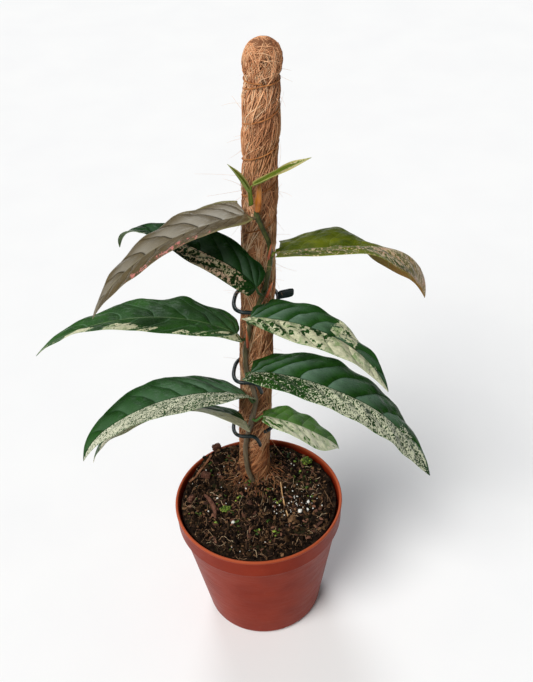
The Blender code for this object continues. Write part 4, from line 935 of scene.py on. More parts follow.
# the head: most tufts are combed up over the dome, the rest loop round the crown
tufts, each = 84, 8
m = tufts * each
crown = rng.uniform(0, 1, tufts) < 0.36
ta = rng.uniform(0, 2 * math.pi, tufts)
th_ = np.where(crown, 320.3 + 10.6 * rng.uniform(0.30, 0.95, tufts), rng.uniform(306, 319.5, tufts))
tl = np.where(crown, rng.uniform(-2.2, 2.2, tufts), rng.normal(0.10, 0.20, tufts))
toff, tc = rng.uniform(-0.5, 0.2, tufts), rng.uniform(0.0, 0.85, tufts)
a0 = rep(ta) + rng.normal(0, 0.085, m)
h0 = np.clip(rep(th_) + rng.normal(0, 1.2, m), 304.0, 330.6)
off = rep(toff) + rng.uniform(-0.18, 0.18, m)
out, radii = fibre_mesh("head", np.stack([a0, h0], -1), rep(tl) + rng.normal(0, 0.07, m), rng.uniform(9, 22, m), rng.uniform(0.16, 0.34, m), off, 4, 9, 0.35)
strands(bag, out, radii, 3, np.clip(rep(tc) * 0.8 + rng.uniform(-0.1, 0.25, m), 0, 1), np.clip((0.05 - off) * 1.3, 0, 0.72))
COIR = [(0.0, (0.34, 0.125, 0.050)), (0.35, (0.70, 0.315, 0.145)), (0.65, (0.88, 0.490, 0.260)), (1.0, (0.96, 0.710, 0.460))]


def coir_material(name, low, reach):
    """coir that darkens and reddens towards the damp soil"""
    g = Graph(name, 0.75, 0.25)
    p = g.obj()
    _, _, hz = g.xyz(p)
    f = g.math("ADD", g.attr("fc"), g.span(g.noise(p, 2.0, 3.0), 0.2, 0.8, -0.18, 0.18), clamp=True)
    # painted shade: each fibre is darkened by its fs value, most where it lies deep in the wrap
    color = g.mix(g.attr("fs"), g.ramp(f, COIR), (0.02, 0.006, 0.002))
    damp = g.span(g.math("ADD", hz, g.span(g.noise(p, 0.8, 3.0), 0.3, 0.7, -3.0, 3.0)), reach[0], reach[1], low, 0.0)
    dark = g.add("ShaderNodeVectorMath", 0, {"operation": "MULTIPLY"}, {0: color, 1: (0.52, 0.40, 0.30)})
    color = g.mix(damp, color, dark)
    return g.end(color, 0.75, g.bump(g.noise(p, 6.0, 4.0, 0.7), 0.5, 0.0004))


coir_mat = coir_material("coir_fibre", 0.95, (13.0, 26.0))
bag.make("coir_pole_fibres", coir_mat, slot="coir")

# stray hairs
bag = Bag()
m = 130
a0 = rng.uniform(0, 2 * math.pi, m)
h0 = rng.uniform(30, 326, m)
st = []
for a, h in zip(a0, h0):
    L = rng.uniform(5, 13) if rng.uniform() < 0.8 else rng.uniform(13, 24)
    R = float(pole_radius(np.array(a), np.array(h))) - 0.3
    base = pole_point(R * math.cos(a), R * math.sin(a), h)
    if h > 318:
        e = (h - 320.3) / 10.6
        cc = math.sqrt(max(0.0, 1 - e * e))
        base = pole_point(10.4 * cc * math.cos(a), 10.4 * cc * math.sin(a), h)
    n = np.array([math.cos(a), math.sin(a), 0.0])
    e = np.array([-math.sin(a), math.cos(a), 0.0])
    d = n * rng.uniform(0.35, 1.0) + e * rng.normal(0, 0.6) + np.array([0, 0, 1]) * rng.normal(0.15, 0.7)
    d /= np.linalg.norm(d)
    b = rng.normal(0, 0.35, 3)
    st.append([base + d * L * t + b * L * t * t * 0.6 for t in np.linspace(0, 1, 8)])
st = np.array(st)
v, q, t = tubes(st, np.tile(np.linspace(0.09, 0.04, 8), (m, 1)), 3)
bag.add(v, q, t, fc=np.repeat(rng.uniform(0.5, 1, m), 24), fs=0.0)
bag.make("coir_pole_hairs", coir_mat, slot="coir")

# ---- binding thread ---------------------------------------------------------------------------------
pts = []
u = -1.0
while u <= 4.25 + 1e-6:
    h = float(thread_h(np.array(u)))
    base = 10.05 if h > 305 else (10.05 + (POLE_R - 10.05) * min(1.0, (305 - h) / 4.0))
    Rr = base / math.cos(math.pi / 28) + GAP + THREAD_R - 0.62
    a = math.radians(-90.0) - 2 * math.pi * u
    pts.append(pole_point(Rr * math.cos(a), Rr * math.sin(a), h))
    u += 1.0 / 44
path = np.array(pts)
n = len(path)
bag = Bag()
A, B = frames(path[None])
tw = np.linspace(0, n * 0.9, n)
for k in range(2):
    off = (A[0] * np.cos(tw + k * math.pi)[:, None] + B[0] * np.sin(tw + k * math.pi)[:, None]) * 0.13
    v, q, t = tubes((path + off)[None], np.full((1, n), 0.275), 7)
    bag.add(v, q, t, fc=0.35 + 0.3 * k, fs=0.0)
thread_mat = grain_material("thread_twist", [(0.0, (0.26, 0.085, 0.018)), (0.5, (0.42, 0.150, 0.036)), (1.0, (0.58, 0.25, 0.070))], 4.0, 0.6, 0.4, shade="fs", spread=0.5)
bag.make("binding_thread_twist", thread_mat, node="binding_thread", slot="thread")


# ---- sheath and stipules ------------------------------------------------------------------------------
def scale_piece(name, a, b, width, bulge, material, seed):
    a, b = np.array(a, float), np.array(b, float)
    n = 40
    t = np.linspace(0, 1, n)
    path = a + (b - a) * t[:, None]
    path[:, 1] -= bulge * np.sin(math.pi * t)
    rad = width * np.where(t < 0.9, 0.45 + 0.55 * np.sin(math.pi * np.minimum(1, 0.12 + t * 0.75)), 0.12 + (1 - t) * 2.5) * (1 - 0.55 * t)
    rad = np.maximum(np.convolve(np.pad(rad, 3, mode="edge"), np.ones(7) / 7, "valid"), 0.08)
    A, B = frames(path[None])
    m = 20
    ang = 2 * math.pi * np.arange(m) / m
    rib = 1 + 0.07 * np.cos(ang * 5 + seed)[None] + 0.03 * Waves(seed, 3.0, 2)(t[:, None] * 20, ang[None] * 2)
    v = path[:, None] + (A[0][:, None] * np.cos(ang)[None, :, None] + B[0][:, None] * np.sin(ang)[None, :, None]) * (rad[:, None] * rib)[..., None]
    f = grid_faces(n, m, True)
    caps = [[0, c + 1, c] for c in range(1, m - 1)] + [[(n - 1) * m, (n - 1) * m + c, (n - 1) * m + c + 1] for c in range(1, m - 1)]
    tt = np.repeat(t, m)
    return build(name + "_skin", v.reshape(-1, 3), [f, np.array(caps)], material, node=name, slot="sheath", attrs={"st": tt})


def sheath_material(name, lo, mid, hi):
    g = Graph(name, 0.42, 0.5)
    p = g.obj()
    ps = g.add("ShaderNodeVectorMath", 0, {"operation": "MULTIPLY"}, {0: p, 1: (1.0, 1.0, 0.18)})
    f = g.math("ADD", g.attr("st"), g.span(g.noise(ps, 9.0, 4.0), 0.25, 0.75, -0.35, 0.35), clamp=True)
    color = g.ramp(f, [(0.0, lo), (0.45, mid), (1.0, hi)])
    return g.end(color, 0.45, g.bump(g.noise(ps, 16.0, 3.0), 0.35, 0.0003), coat=0.1)


sheath_mat = sheath_material("sheath_orange", (0.34, 0.085, 0.006), (0.58, 0.19, 0.012), (0.44, 0.18, 0.03))
stip_mat = sheath_material("stipule_red", (0.28, 0.050, 0.018), (0.40, 0.085, 0.024), (0.42, 0.16, 0.05))
scale_piece("bud_sheath", pole_point(-1.5, -14.0, 233.2), pole_point(-0.3, -14.3, 252.0), 2.75, 0.5, sheath_mat, 1)
scale_piece("stipule_upper", pole_point(5.6, -15.4, 200.0), pole_point(7.2, -15.6, 211.5), 1.1, 0.3, stip_mat, 2)
scale_piece("stipule_middle", pole_point(4.9, -16.0, 172.3), pole_point(9.0, -13.9, 183.0), 1.2, 0.3, stip_mat, 3)
scale_piece("stipule_lower", pole_point(-6.2, -16.9, 134.0), pole_point(-7.4, -18.3, 150.5), 1.2, 0.2, stip_mat, 4)


# ---- plant clips ----------------------------------------------------------------------------------------
clip_mat = simple_material("clip_moulded", (0.002, 0.008, 0.008), (0.006, 0.017, 0.018), 1.6, rough=0.30, spec=0.35, bump_scale=30.0, bump=0.15, dist=0.0002)


def clip(name, h, tilt):
    f = -(STEM_OUT + STEM_R + GAP + 1.45)
    ctrl = [(3.4, f - 0.6, -9.5), (2.6, f - 0.9, -6.0), (0.8, f - 0.8, -2.2), (-1.8, f - 0.3, -0.3), (-6.0, f, 0.0),
            (-10.6, f + 0.6, 0.0), (-14.0, f + 3.6, 0.0), (-15.2, f + 9.0, 0.0), (-14.4, 0.0, 0.0), (-12.6, 5.5, 0.0),
            (-8.4, 10.4, 0.0), (-2.5, 13.0, 0.0), (4.0, 12.7, 0.0), (9.6, 9.2, 0.0), (12.7, 3.6, 0.0),
            (13.0, -3.0, 0.3), (11.4, -9.4, 1.2), (8.4, -14.2, 2.4), (5.6, f - 0.2, 3.6)]
    pts = np.array([pole_point(p[0], p[1], h + p[2] + tilt * p[0]) for p in catmull(ctrl, 8)])
    n = len(pts)
    t = np.linspace(0, 1, n)
    rad = 1.3 * np.minimum(1.0, np.minimum(0.55 + t * 30, 0.55 + (1 - t) * 30))
    bag = Bag()
    v, q, tr = tubes(pts[None], rad[None], 14)
    bag.add(v, q, tr)
    rings = []
    m = 24
    xs = np.r_[np.linspace(12.6, 21.8, 14), 22.5, 23.0, 23.25, 23.35]
    hz = np.interp(xs, [12.6, 12.9, 14.2, 20.5, 22.6, 23.3, 23.36], [1.2, 1.6, 3.2, 3.3, 2.9, 1.8, 1.0])
    hy = np.interp(xs, [12.6, 14.2, 20.5, 22.6, 23.3, 23.36], [0.6, 0.8, 0.75, 0.7, 0.5, 0.25])
    for x, a, b in zip(xs, hz, hy):
        ang = 2 * math.pi * np.arange(m) / m
        sy = np.sign(np.cos(ang)) * abs(np.cos(ang)) ** 0.6 * b
        sz = np.sign(np.sin(ang)) * abs(np.sin(ang)) ** 0.6 * a
        rings.append([pole_point(x, 1.5 + (x - 12.9) * 0.10 + yy, h + (x - 12.9) * 0.16 + zz + tilt * x) for yy, zz in zip(sy, sz)])
    rings = np.array(rings)
    nr = len(rings)
    caps = [[0, c + 1, c] for c in range(1, m - 1)] + [[(nr - 1) * m, (nr - 1) * m + c, (nr - 1) * m + c + 1] for c in range(1, m - 1)]
    bag.add(rings.reshape(-1, 3), grid_faces(nr, m, True), np.array(caps))
    o = bag.make(name + "_loop", clip_mat, node=name, slot="clip_plastic")
    orient_out(o)
    return o


clip("clip_upper", 161.5, -0.06)
clip("clip_middle", 104.0, -0.02)
clip("clip_lower", 55.5, -0.02)


# ---- pot ------------------------------------------------------------------------------------------------
zb = POT_H - BAND_H


def body_r(z):
    return BASE_R + (BODY_TOP_R - BASE_R) * min(z, zb) / zb


def rounded(profile, per=5):
    """round every corner given as (r, z, radius)"""
    out = []
    for i, c in enumerate(profile):
        r, z = c[0], c[1]
        k = c[2] if len(c) > 2 else 0.0
        if k == 0 or i in (0, len(profile) - 1):
            out.append((r, z))
            continue
        p, a, b = np.array([r, z]), np.array(profile[i - 1][:2]), np.array(profile[i + 1][:2])
        u, w = (a - p), (b - p)
        lu, lw = np.linalg.norm(u), np.linalg.norm(w)
        k = min(k, lu * 0.45, lw * 0.45)
        s0, s1 = p + u / lu * k, p + w / lw * k
        for t in np.linspace(0, 1, per):
            out.append(tuple((1 - t) ** 2 * s0 + 2 * t * (1 - t) * p + t * t * s1))
    return out


profile = rounded([(0.0, FLOOR_T), (body_r(FLOOR_T) - WALL, FLOOR_T, 1.5), (body_r(zb) - WALL, zb, 0.6), (RIM_R - 3.4, zb + 1.4, 0.6),
                   (RIM_R - 2.0, POT_H - 0.8, 0.3), (RIM_R - 1.5, POT_H - 0.1, 0.3), (RIM_R - 0.6, POT_H, 0.3), (RIM_R, POT_H - 0.7, 0.5),
                   (RIM_R - 0.05, POT_H - 1.9, 0.4), (RIM_R - 0.45, POT_H - 2.5, 0.3), (RIM_R - 0.9, zb + 1.0, 0.4), (RIM_R - 1.3, zb, 0.3), (body_r(zb) + 0.1, zb - 0.5, 0.4),
                   (body_r(60.0), 60.0), (body_r(30.0), 30.0), (body_r(2.6), 2.6, 1.2), (BASE_R - 1.5, 0.0, 0.6), (BASE_R - 4.0, 0.0, 0.2), (0.0, 0.0)])
SEGS = 160
me = bpy.data.meshes.new("pot_shell")
me.from_pydata([(r * MM, 0.0, z * MM) for r, z in profile], [(i, i + 1) for i in range(len(profile) - 1)], [])
pot = bpy.data.objects.new("pot_shell", me)
col.objects.link(pot)
s = pot.modifiers.new("screw", "SCREW")
s.axis, s.angle, s.steps, s.render_steps = "Z", 2 * math.pi, SEGS, SEGS
s.use_merge_vertices, s.merge_threshold, s.use_normal_calculate = True, 0.00001, True
new = bpy.data.meshes.new_from_object(pot.evaluated_get(bpy.context.evaluated_depsgraph_get()))
pot.modifiers.clear()
pot.data = new
bm = bmesh.new()
bm.from_mesh(new)
bmesh.ops.remove_doubles(bm, verts=bm.verts, dist=0.000005)
bmesh.ops.recalc_face_normals(bm, faces=bm.faces)
bm.to_mesh(new)
bm.free()
for i in range(DRAIN_N):
    a = 2 * math.pi * (i + 0.5) / DRAIN_N
    bm = bmesh.new()
    bmesh.ops.create_cone(bm, cap_ends=True, segments=40, radius1=DRAIN_R * MM, radius2=DRAIN_R * MM, depth=0.008,
                          matrix=Matrix.Translation((DRAIN_PCD_R * math.cos(a) * MM, DRAIN_PCD_R * math.sin(a) * MM, 0.001)))
    cm = bpy.data.meshes.new("drain")
    bm.to_mesh(cm)
    bm.free()
    co = bpy.data.objects.new("drain", cm)
    col.objects.link(co)
    b = pot.modifiers.new("bool", "BOOLEAN")
    b.operation, b.solver, b.object = "DIFFERENCE", "EXACT", co
    new = bpy.data.meshes.new_from_object(pot.evaluated_get(bpy.context.evaluated_depsgraph_get()))
    pot.modifiers.clear()
    pot.data = new
    bpy.data.objects.remove(co, do_unlink=True)
pot.data.polygons.foreach_set("use_smooth", [True] * len(pot.data.polygons))
pot.data.set_sharp_from_angle(angle=math.radians(50))
g = Graph("pot_moulded", 0.36, 0.07)
p = g.obj()
_, _, hz = g.xyz(p)
base = g.mix(g.span(g.noise(p, 0.5, 4.0), 0.35, 0.65), (0.200, 0.017, 0.004), (0.240, 0.024, 0.007))
# painted highlight: the top of the rim is painted a lighter orange
lip_highlight = g.span(hz, 10.10, 10.36)
base = g.mix(g.math("MULTIPLY", lip_highlight, 0.60), base, (0.50, 0.115, 0.045))
dust = g.math("MULTIPLY", g.span(g.noise(p, 2.6, 5.0, 0.7), 0.55, 0.75), 0.035)
base = g.mix(dust, base, (0.42, 0.30, 0.24))
scuff = g.span(g.noise(g.add("ShaderNodeVectorMath", 0, {"operation": "MULTIPLY"}, {0: p, 1: (0.6, 0.6, 5.0)}), 1.2, 5.0, 0.7), 0.40, 0.70, 0.34, 0.50)
pot_mat = g.end(base, scuff, g.bump(g.noise(p, 22.0, 3.0), 0.10, 0.0003))
pot.data.materials.clear()
pot.data.materials.append(pot_mat)
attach(pot, "root")
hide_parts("pot")


# ---- soil -------------------------------------------------------------------------------------------------
def soil_h(x, y):
    h = -4.2 + 12.0 * np.exp(-((x + 2.5) ** 2 + (y - 20) ** 2) / (2 * 17.0 ** 2))
    h = h + 8.5 * np.exp(-((x + 27) ** 2 + (y - 37) ** 2) / (2 * 12.0 ** 2))
    return h + 0.55 * np.sin(0.31 * x + 0.4) * np.cos(0.27 * y - 0.8) + 0.35 * np.sin(0.55 * y + 0.2 * x)


w1, w2, w3 = Waves(41, 9.0, 2), Waves(42, 3.6, 2), Waves(43, 1.9, 2)


def crust_h(x, y):
    rr = np.hypot(x, y)
    z = 1.1 + 0.75 * w1(x, y) + 0.60 * w2(x, y) + 0.30 * w3(x, y)
    return soil_h(x, y) + np.clip(z, -0.15, 3.6) * (1 - 0.6 * smooth(52.0, 55.6, rr))


NR, NT = 74, 300
rr = 55.7 * np.linspace(0, 1, NR)[1:]
th = np.linspace(0, 2 * math.pi, NT, endpoint=False)
Rg, Tg = np.meshgrid(rr, th, indexing="ij")
X, Y = Rg * np.cos(Tg), Rg * np.sin(Tg)
top = np.stack([X, Y, POT_H + crust_h(X, Y)], -1).reshape(-1, 3)
Rb = np.minimum(Rg, 55.2)
Xb, Yb = Rb * np.cos(Tg), Rb * np.sin(Tg)
ring_b = np.stack([Xb[-1], Yb[-1], POT_H + soil_h(Xb[-1], Yb[-1]) - 2.6], -1)
k = len(rr) * NT
verts = np.vstack([top, ring_b, [[0, 0, POT_H + float(crust_h(np.array(0.0), np.array(0.0)))]], [[0, 0, POT_H - 7.0]]])
f = grid_faces(len(rr), NT, True)
j = np.arange(NT)
jn = (j + 1) % NT
side = np.stack([(len(rr) - 1) * NT + j, (len(rr) - 1) * NT + jn, k + jn, k + j], -1)
cap = np.stack([np.full(NT, k + NT), jn, j], -1)
bot = np.stack([np.full(NT, k + NT + 1), k + j, k + jn], -1)
g = Graph("peat", 0.95, 0.12)
p = g.obj()
a = g.noise(p, 3.0, 6.0, 0.75)
color = g.ramp(a, [(0.30, (0.003, 0.002, 0.001)), (0.50, (0.013, 0.007, 0.004)), (0.62, (0.042, 0.023, 0.012)), (0.76, (0.11, 0.064, 0.036))])
color = g.mix(g.span(g.noise(p, 0.8, 3.0), 0.55, 0.70, 0.0, 0.35), color, (0.035, 0.045, 0.012))
peat = g.end(color, 0.95, g.bump(g.noise(p, 9.0, 6.0, 0.8), 1.0, 0.0012))
build("soil_crust", verts, [f, side, cap, bot], peat, slot="soil")
orient_out(bpy.data.objects["soil_crust"])

rng = np.random.default_rng(77)


def scatter(n, rmax=54.0, clear=True):
    out = []
    while len(out) < n:
        x, y = rng.uniform(-rmax, rmax, 2)
        if math.hypot(x, y) > rmax:
            continue
        if clear and math.hypot(x - POLE_X, y - POLE_Y) < 10.5:
            continue
        out.append((x, y))
    return np.array(out)


bag = Bag()
xy = scatter(3000)
sz = np.exp(rng.normal(math.log(0.85), 0.38, 3000))
ctr = np.c_[xy, POT_H + crust_h(xy[:, 0], xy[:, 1]) + sz * 0.15]
lumps(bag, ctr, np.c_[sz * rng.uniform(0.8, 1.7, 3000), sz * rng.uniform(0.6, 1.1, 3000), sz * rng.uniform(0.45, 0.9, 3000)], 5, 0, 0.35, fc=rng.uniform(0, 1, 3000) ** 1.9)
crumb_mat = grain_material("peat_crumb", [(0.0, (0.004, 0.0025, 0.002)), (0.40, (0.016, 0.009, 0.005)), (0.75, (0.072, 0.038, 0.018)), (1.0, (0.24, 0.130, 0.066))], 5.0, 0.95, 0.05, 0.8, 0.0005)
bag.make("soil_crumbs", crumb_mat, slot="soil", smooth_shade=False)

# fine roots and fibres lying on the soil
bag = Bag()
m = 520
xy = scatter(m, 53.0)
st = []
for x, y in xy:
    L = rng.uniform(3, 12)
    a = rng.uniform(0, 2 * math.pi)
    turn = rng.normal(0, 1.1)
    pts = []
    up = rng.uniform(0, 1.6) if rng.uniform() < 0.35 else 0.0
    for t in np.linspace(0, 1, 9):
        pts.append([x, y, 0.25 + up * math.sin(math.pi * t)])
        x, y = x + math.cos(a) * L / 8, y + math.sin(a) * L / 8
        a += turn / 8
    st.append(pts)
st = np.array(st)
rho = np.hypot(st[..., 0], st[..., 1])
f = np.minimum(1.0, 54.5 / np.maximum(rho, 1e-6))
st[..., 0] *= f
st[..., 1] *= f
st[..., 2] += POT_H + crust_h(st[..., 0], st[..., 1]) + 0.15
rad = rng.uniform(0.09, 0.22, m)
v, q, t = tubes(st, np.repeat(rad[:, None], 9, 1), 4)
bag.add(v, q, t, fc=np.repeat(rng.uniform(0, 1, m) ** 1.3, 36), fs=0.0)
root_mat = grain_material("rootlet", [(0.0, (0.050, 0.025, 0.014)), (0.4, (0.16, 0.080, 0.040)), (0.75, (0.34, 0.20, 0.11)), (1.0, (0.58, 0.44, 0.28))], 2.0, 0.8, 0.25, shade="fs", spread=0.25)
bag.make("soil_rootlets", root_mat, slot="soil")

# tangled coir at the foot of the pole
bag = Bag()
m = 300
a0 = rng.uniform(0, 2 * math.pi, m)
out = []
for a in a0:
    h = rng.uniform(3, 20)
    run = rng.uniform(3, 17)
    drift = rng.normal(0, 0.7)
    pts = []
    h0 = h
    for t in np.linspace(0, 1, 11):
        aa = a + drift * t
        down = min(1.0, t * 1.6)
        R = POLE_R + 0.2 + 0.5 * math.sin(5 * t + a) * 0.5 + max(0.0, t - 0.55) / 0.45 * run
        x, y = R * math.cos(aa), R * math.sin(aa)
        hx = POLE_X + x
        ground = float(crust_h(np.array(hx), np.array(POLE_Y + y))) + 0.3
        h = max(ground, h0 * (1 - down) + ground * down)
        pts.append([hx + POLE_LEAN * max(h, 0), POLE_Y + y, POT_H + h])
    out.append(pts)
out = np.array(out)
rad = np.repeat(rng.uniform(0.14, 0.34, m)[:, None], 11, 1) * np.linspace(1.0, 0.5, 11)[None]
strands(bag, out, rad, 4, rng.uniform(0.0, 1.0, m), rng.uniform(0.0, 0.6, m))
bag.make("coir_pole_foot", coir_mat, slot="coir")


# ---- single things on the soil ------------------------------------------------------------------------------
bark_mat = simple_material("bark_flake", (0.060, 0.022, 0.013), (0.150, 0.060, 0.038), 3.0, rough=0.85, bump_scale=14.0, bump=0.9, dist=0.0006, spec=0.2, stretch=(1.0, 1.0, 2.5), c=(0.26, 0.13, 0.08))


def rod_path(a, b, r, bend, n):
    t = np.linspace(0, 1, n)
    x = a[0] + (b[0] - a[0]) * t - (b[1] - a[1]) * bend * np.sin(math.pi * t)
    y = a[1] + (b[1] - a[1]) * t + (b[0] - a[0]) * bend * np.sin(math.pi * t)
    h = np.max([soil_h(x + dx, y + dy) for dx in (-2.4, 0, 2.4) for dy in (-2.4, 0, 2.4)], axis=0)
    return np.stack([x, y, POT_H + h + r + GAP + 0.25], -1)


def rod(name, a, b, r, material, slot, bend=0.0, n=60, sides=12, flat=1.0, knots=0.12, seed=1):
    path = rod_path(a, b, r, bend, n)
    t = np.linspace(0, 1, n)
    w = Waves(seed, 8.0, 1)
    rad = r * (0.92 + knots * w(t * 40)) * (0.55 + 0.45 * np.minimum(1, np.minimum(t * 12 + 0.2, (1 - t) * 12 + 0.2)))
    A, B = frames(path[None])
    ang = 2 * math.pi * np.arange(sides) / sides
    rib = 1 + 0.10 * np.sin(3 * ang + seed)[None] + 0.05 * np.sin(7 * ang)[None]
    v = path[:, None] + (A[0][:, None] * np.cos(ang)[None, :, None] + B[0][:, None] * (np.sin(ang) * flat)[None, :, None]) * (rad[:, None] * rib)[..., None]
    caps = [[0, c + 1, c] for c in range(1, sides - 1)] + [[(n - 1) * sides, (n - 1) * sides + c, (n - 1) * sides + c + 1] for c in range(1, sides - 1)]
    return build(name + "_piece", v.reshape(-1, 3), [grid_faces(n, sides, True), np.array(caps)], material, node=name, slot=slot)


twig_mat = simple_material("twig_bark", (0.15, 0.060, 0.026), (0.30, 0.130, 0.062), 2.5, rough=0.75, bump_scale=12.0, bump=0.7, dist=0.0004, spec=0.25)
straw_mat = simple_material("straw_dry", (0.40, 0.215, 0.090), (0.62, 0.38, 0.18), 2.0, rough=0.55, bump_scale=12.0, bump=0.3, dist=0.0003, spec=0.35)
rod("twig", (-33.5, 37.5), (-50.5, 19.5), 0.9, twig_mat, "bark", 0.04, seed=3)
rod("straw", (16.5, 9.5), (22.0, -24.5), 0.55, straw_mat, "straw", -0.03, seed=4, knots=0.06)


def flake(name, node, loc_box, ang, material, slot, seed, layers=4):
    """splintered flake that fills the box of its solid: stacked ragged layers"""
    lo, hi = loc_box
    c = [(lo[k] + hi[k]) / 2 for k in range(3)]
    ca, sa = math.cos(math.radians(ang)), math.sin(math.radians(ang))
    size = np.array([hi[k] - lo[k] for k in range(3)])
    r = np.random.default_rng(seed)
    # turn the box back into the flake's own frame
    w, d = size[0], size[1]
    den = ca * ca - sa * sa
    lx = (w * abs(ca) - d * abs(sa)) / den if abs(den) > 0.2 else (w + d) / (2 * (abs(ca) + abs(sa)))
    ly = (d * abs(ca) - w * abs(sa)) / den if abs(den) > 0.2 else (w + d) / (2 * (abs(ca) + abs(sa)))
    lx, ly = max(lx, 3.0), max(ly, 2.5)
    m, nl = 40, layers * 3 + 2
    th = 2 * math.pi * np.arange(m) / m
    prof = (np.abs(np.cos(th)) ** 4 + np.abs(np.sin(th)) ** 4) ** -0.25
    out = []
    wv = Waves(seed, 1.6, 2)
    for i in range(nl):
        z = -0.5 + i / (nl - 1)
        step = 1 - 0.10 * ((i // 3) % 2) - 0.28 * abs(z) ** 3 * 4 * 0.3
        rad = prof * step * (1 + 0.07 * wv(np.cos(th) * 3 + i // 3, np.sin(th) * 3))
        x, y = rad * np.cos(th) * lx / 2 * 0.94, rad * np.sin(th) * ly / 2 * 0.94
        out.append(np.stack([c[0] + x * ca - y * sa, c[1] + x * sa + y * ca, c[2] + z * size[2] * 0.96 + 0.12 * wv(x, y)], -1))
    v = np.concatenate(out)
    v = np.vstack([v, [c[0], c[1], c[2] - size[2] * 0.48], [c[0], c[1], c[2] + size[2] * 0.5]])
    j = np.arange(m)
    jn = (j + 1) % m
    b = (nl - 1) * m
    return build(name, v, [grid_faces(nl, m, True), np.stack([np.full(m, nl * m), jn, j], -1), np.stack([np.full(m, nl * m + 1), b + j, b + jn], -1)],
                 material, node=node, slot=slot)


def mm_box(node):
    lo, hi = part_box(node)
    return [c / MM for c in lo], [c / MM for c in hi]


flake("bark_back_piece", "bark_back", mm_box("bark_back"), 25, bark_mat, "bark", 3)
flake("bark_left_piece", "bark_left", mm_box("bark_left"), -20, bark_mat, "bark", 7)
flake("bark_rim_piece", "bark_rim", mm_box("bark_rim"), 60, bark_mat, "bark", 11)

# curled strip of bark: an open gutter with wall thickness
path = rod_path((-39.0, 5.0), (-31.0, -17.5), 1.5, 0.10, 48)
A, B = frames(path[None])
n, m = 48, 14
t = np.linspace(0, 1, n)
width = 1.7 * np.sin(math.pi * np.clip(0.10 + 0.82 * t, 0, 1)) ** 0.6
ring = []
for sgn, wall in ((1, 0.0), (-1, 0.35)):
    for a in np.linspace(-1.9, 1.9, m)[::sgn]:
        rr_ = width - wall
        ring.append(path + A[0] * (np.sin(a) * rr_)[:, None] - B[0] * (np.cos(a) * rr_ * 0.9)[:, None])
v = np.stack(ring, 1)
mm_ = v.shape[1]
caps0 = np.array([[i, i + 1, mm_ - 2 - i, mm_ - 1 - i] for i in range(m - 1)])
build("bark_curl_piece", v.reshape(-1, 3), [grid_faces(n, mm_, True), caps0[:, ::-1], caps0 + (n - 1) * mm_], bark_mat, node="bark_curl", slot="bark")
orient_out(bpy.data.objects["bark_curl_piece"])

perl_mat = simple_material("perlite_grain", (0.62, 0.60, 0.54), (0.86, 0.85, 0.81), 4.0, rough=0.9, bump_scale=20.0, bump=0.8, dist=0.0004, spec=0.2)
seed_mat = simple_material("seed_husk", (0.55, 0.46, 0.30), (0.72, 0.66, 0.48), 3.0, rough=0.55, bump_scale=12.0, bump=0.3, dist=0.0003, spec=0.35)
for i, node in enumerate(("perlite_front", "perlite_right", "perlite_far_right", "pale_seed")):
    lo, hi = mm_box(node)
    c = np.array([(lo[k] + hi[k]) / 2 for k in range(3)])
    s = np.array([(hi[k] - lo[k]) / 2 for k in range(3)])
    v, f = ico()[2]
    w = Waves(60 + i, 1.1, 3)
    k = 1 + (0.10 if node != "pale_seed" else 0.02) * w(v[:, 0], v[:, 1], v[:, 2])
    build(node + "_grain", c + v * k[:, None] * s * 0.97, [f], seed_mat if node == "pale_seed" else perl_mat, node=node, slot="perlite")

# loose small perlite
bag = Bag()
spots = [(rng.normal(27, 8), rng.normal(-9, 8)) for _ in range(84)] + [tuple(x) for x in scatter(54)]
spots = np.array([s for s in spots if math.hypot(*s) < 52])
sz = rng.uniform(0.26, 0.62, len(spots)) * np.where(rng.uniform(0, 1, len(spots)) < 0.12, 1.7, 1.0)
ctr = np.c_[spots, POT_H + crust_h(spots[:, 0], spots[:, 1]) + sz * 0.6]
lumps(bag, ctr, np.c_[sz, sz * rng.uniform(0.7, 1, len(sz)), sz * rng.uniform(0.6, 0.9, len(sz))], 9, 1, 0.14, fc=rng.uniform(0, 1, len(sz)))
bag.make("soil_perlite_bits", perl_mat, slot="perlite")

# loose bark and wood crumbs
bag = Bag()
xy = scatter(230, 51.0)
sz = rng.uniform(0.9, 2.3, len(xy))
ctr = np.c_[xy, POT_H + crust_h(xy[:, 0], xy[:, 1]) + 0.5]
lumps(bag, ctr, np.c_[sz, sz * rng.uniform(0.4, 0.7, len(sz)), sz * rng.uniform(0.2, 0.35, len(sz))], 12, 1, 0.22, fc=rng.uniform(0, 1, len(sz)))
bark_bits = grain_material("bark_bit", [(0.0, (0.030, 0.014, 0.009)), (0.5, (0.095, 0.040, 0.024)), (1.0, (0.20, 0.090, 0.055))], 4.0, 0.85, 0.2, 0.8, 0.0005)
bag.make("soil_bark_bits", bark_bits, slot="bark", smooth_shade=False)


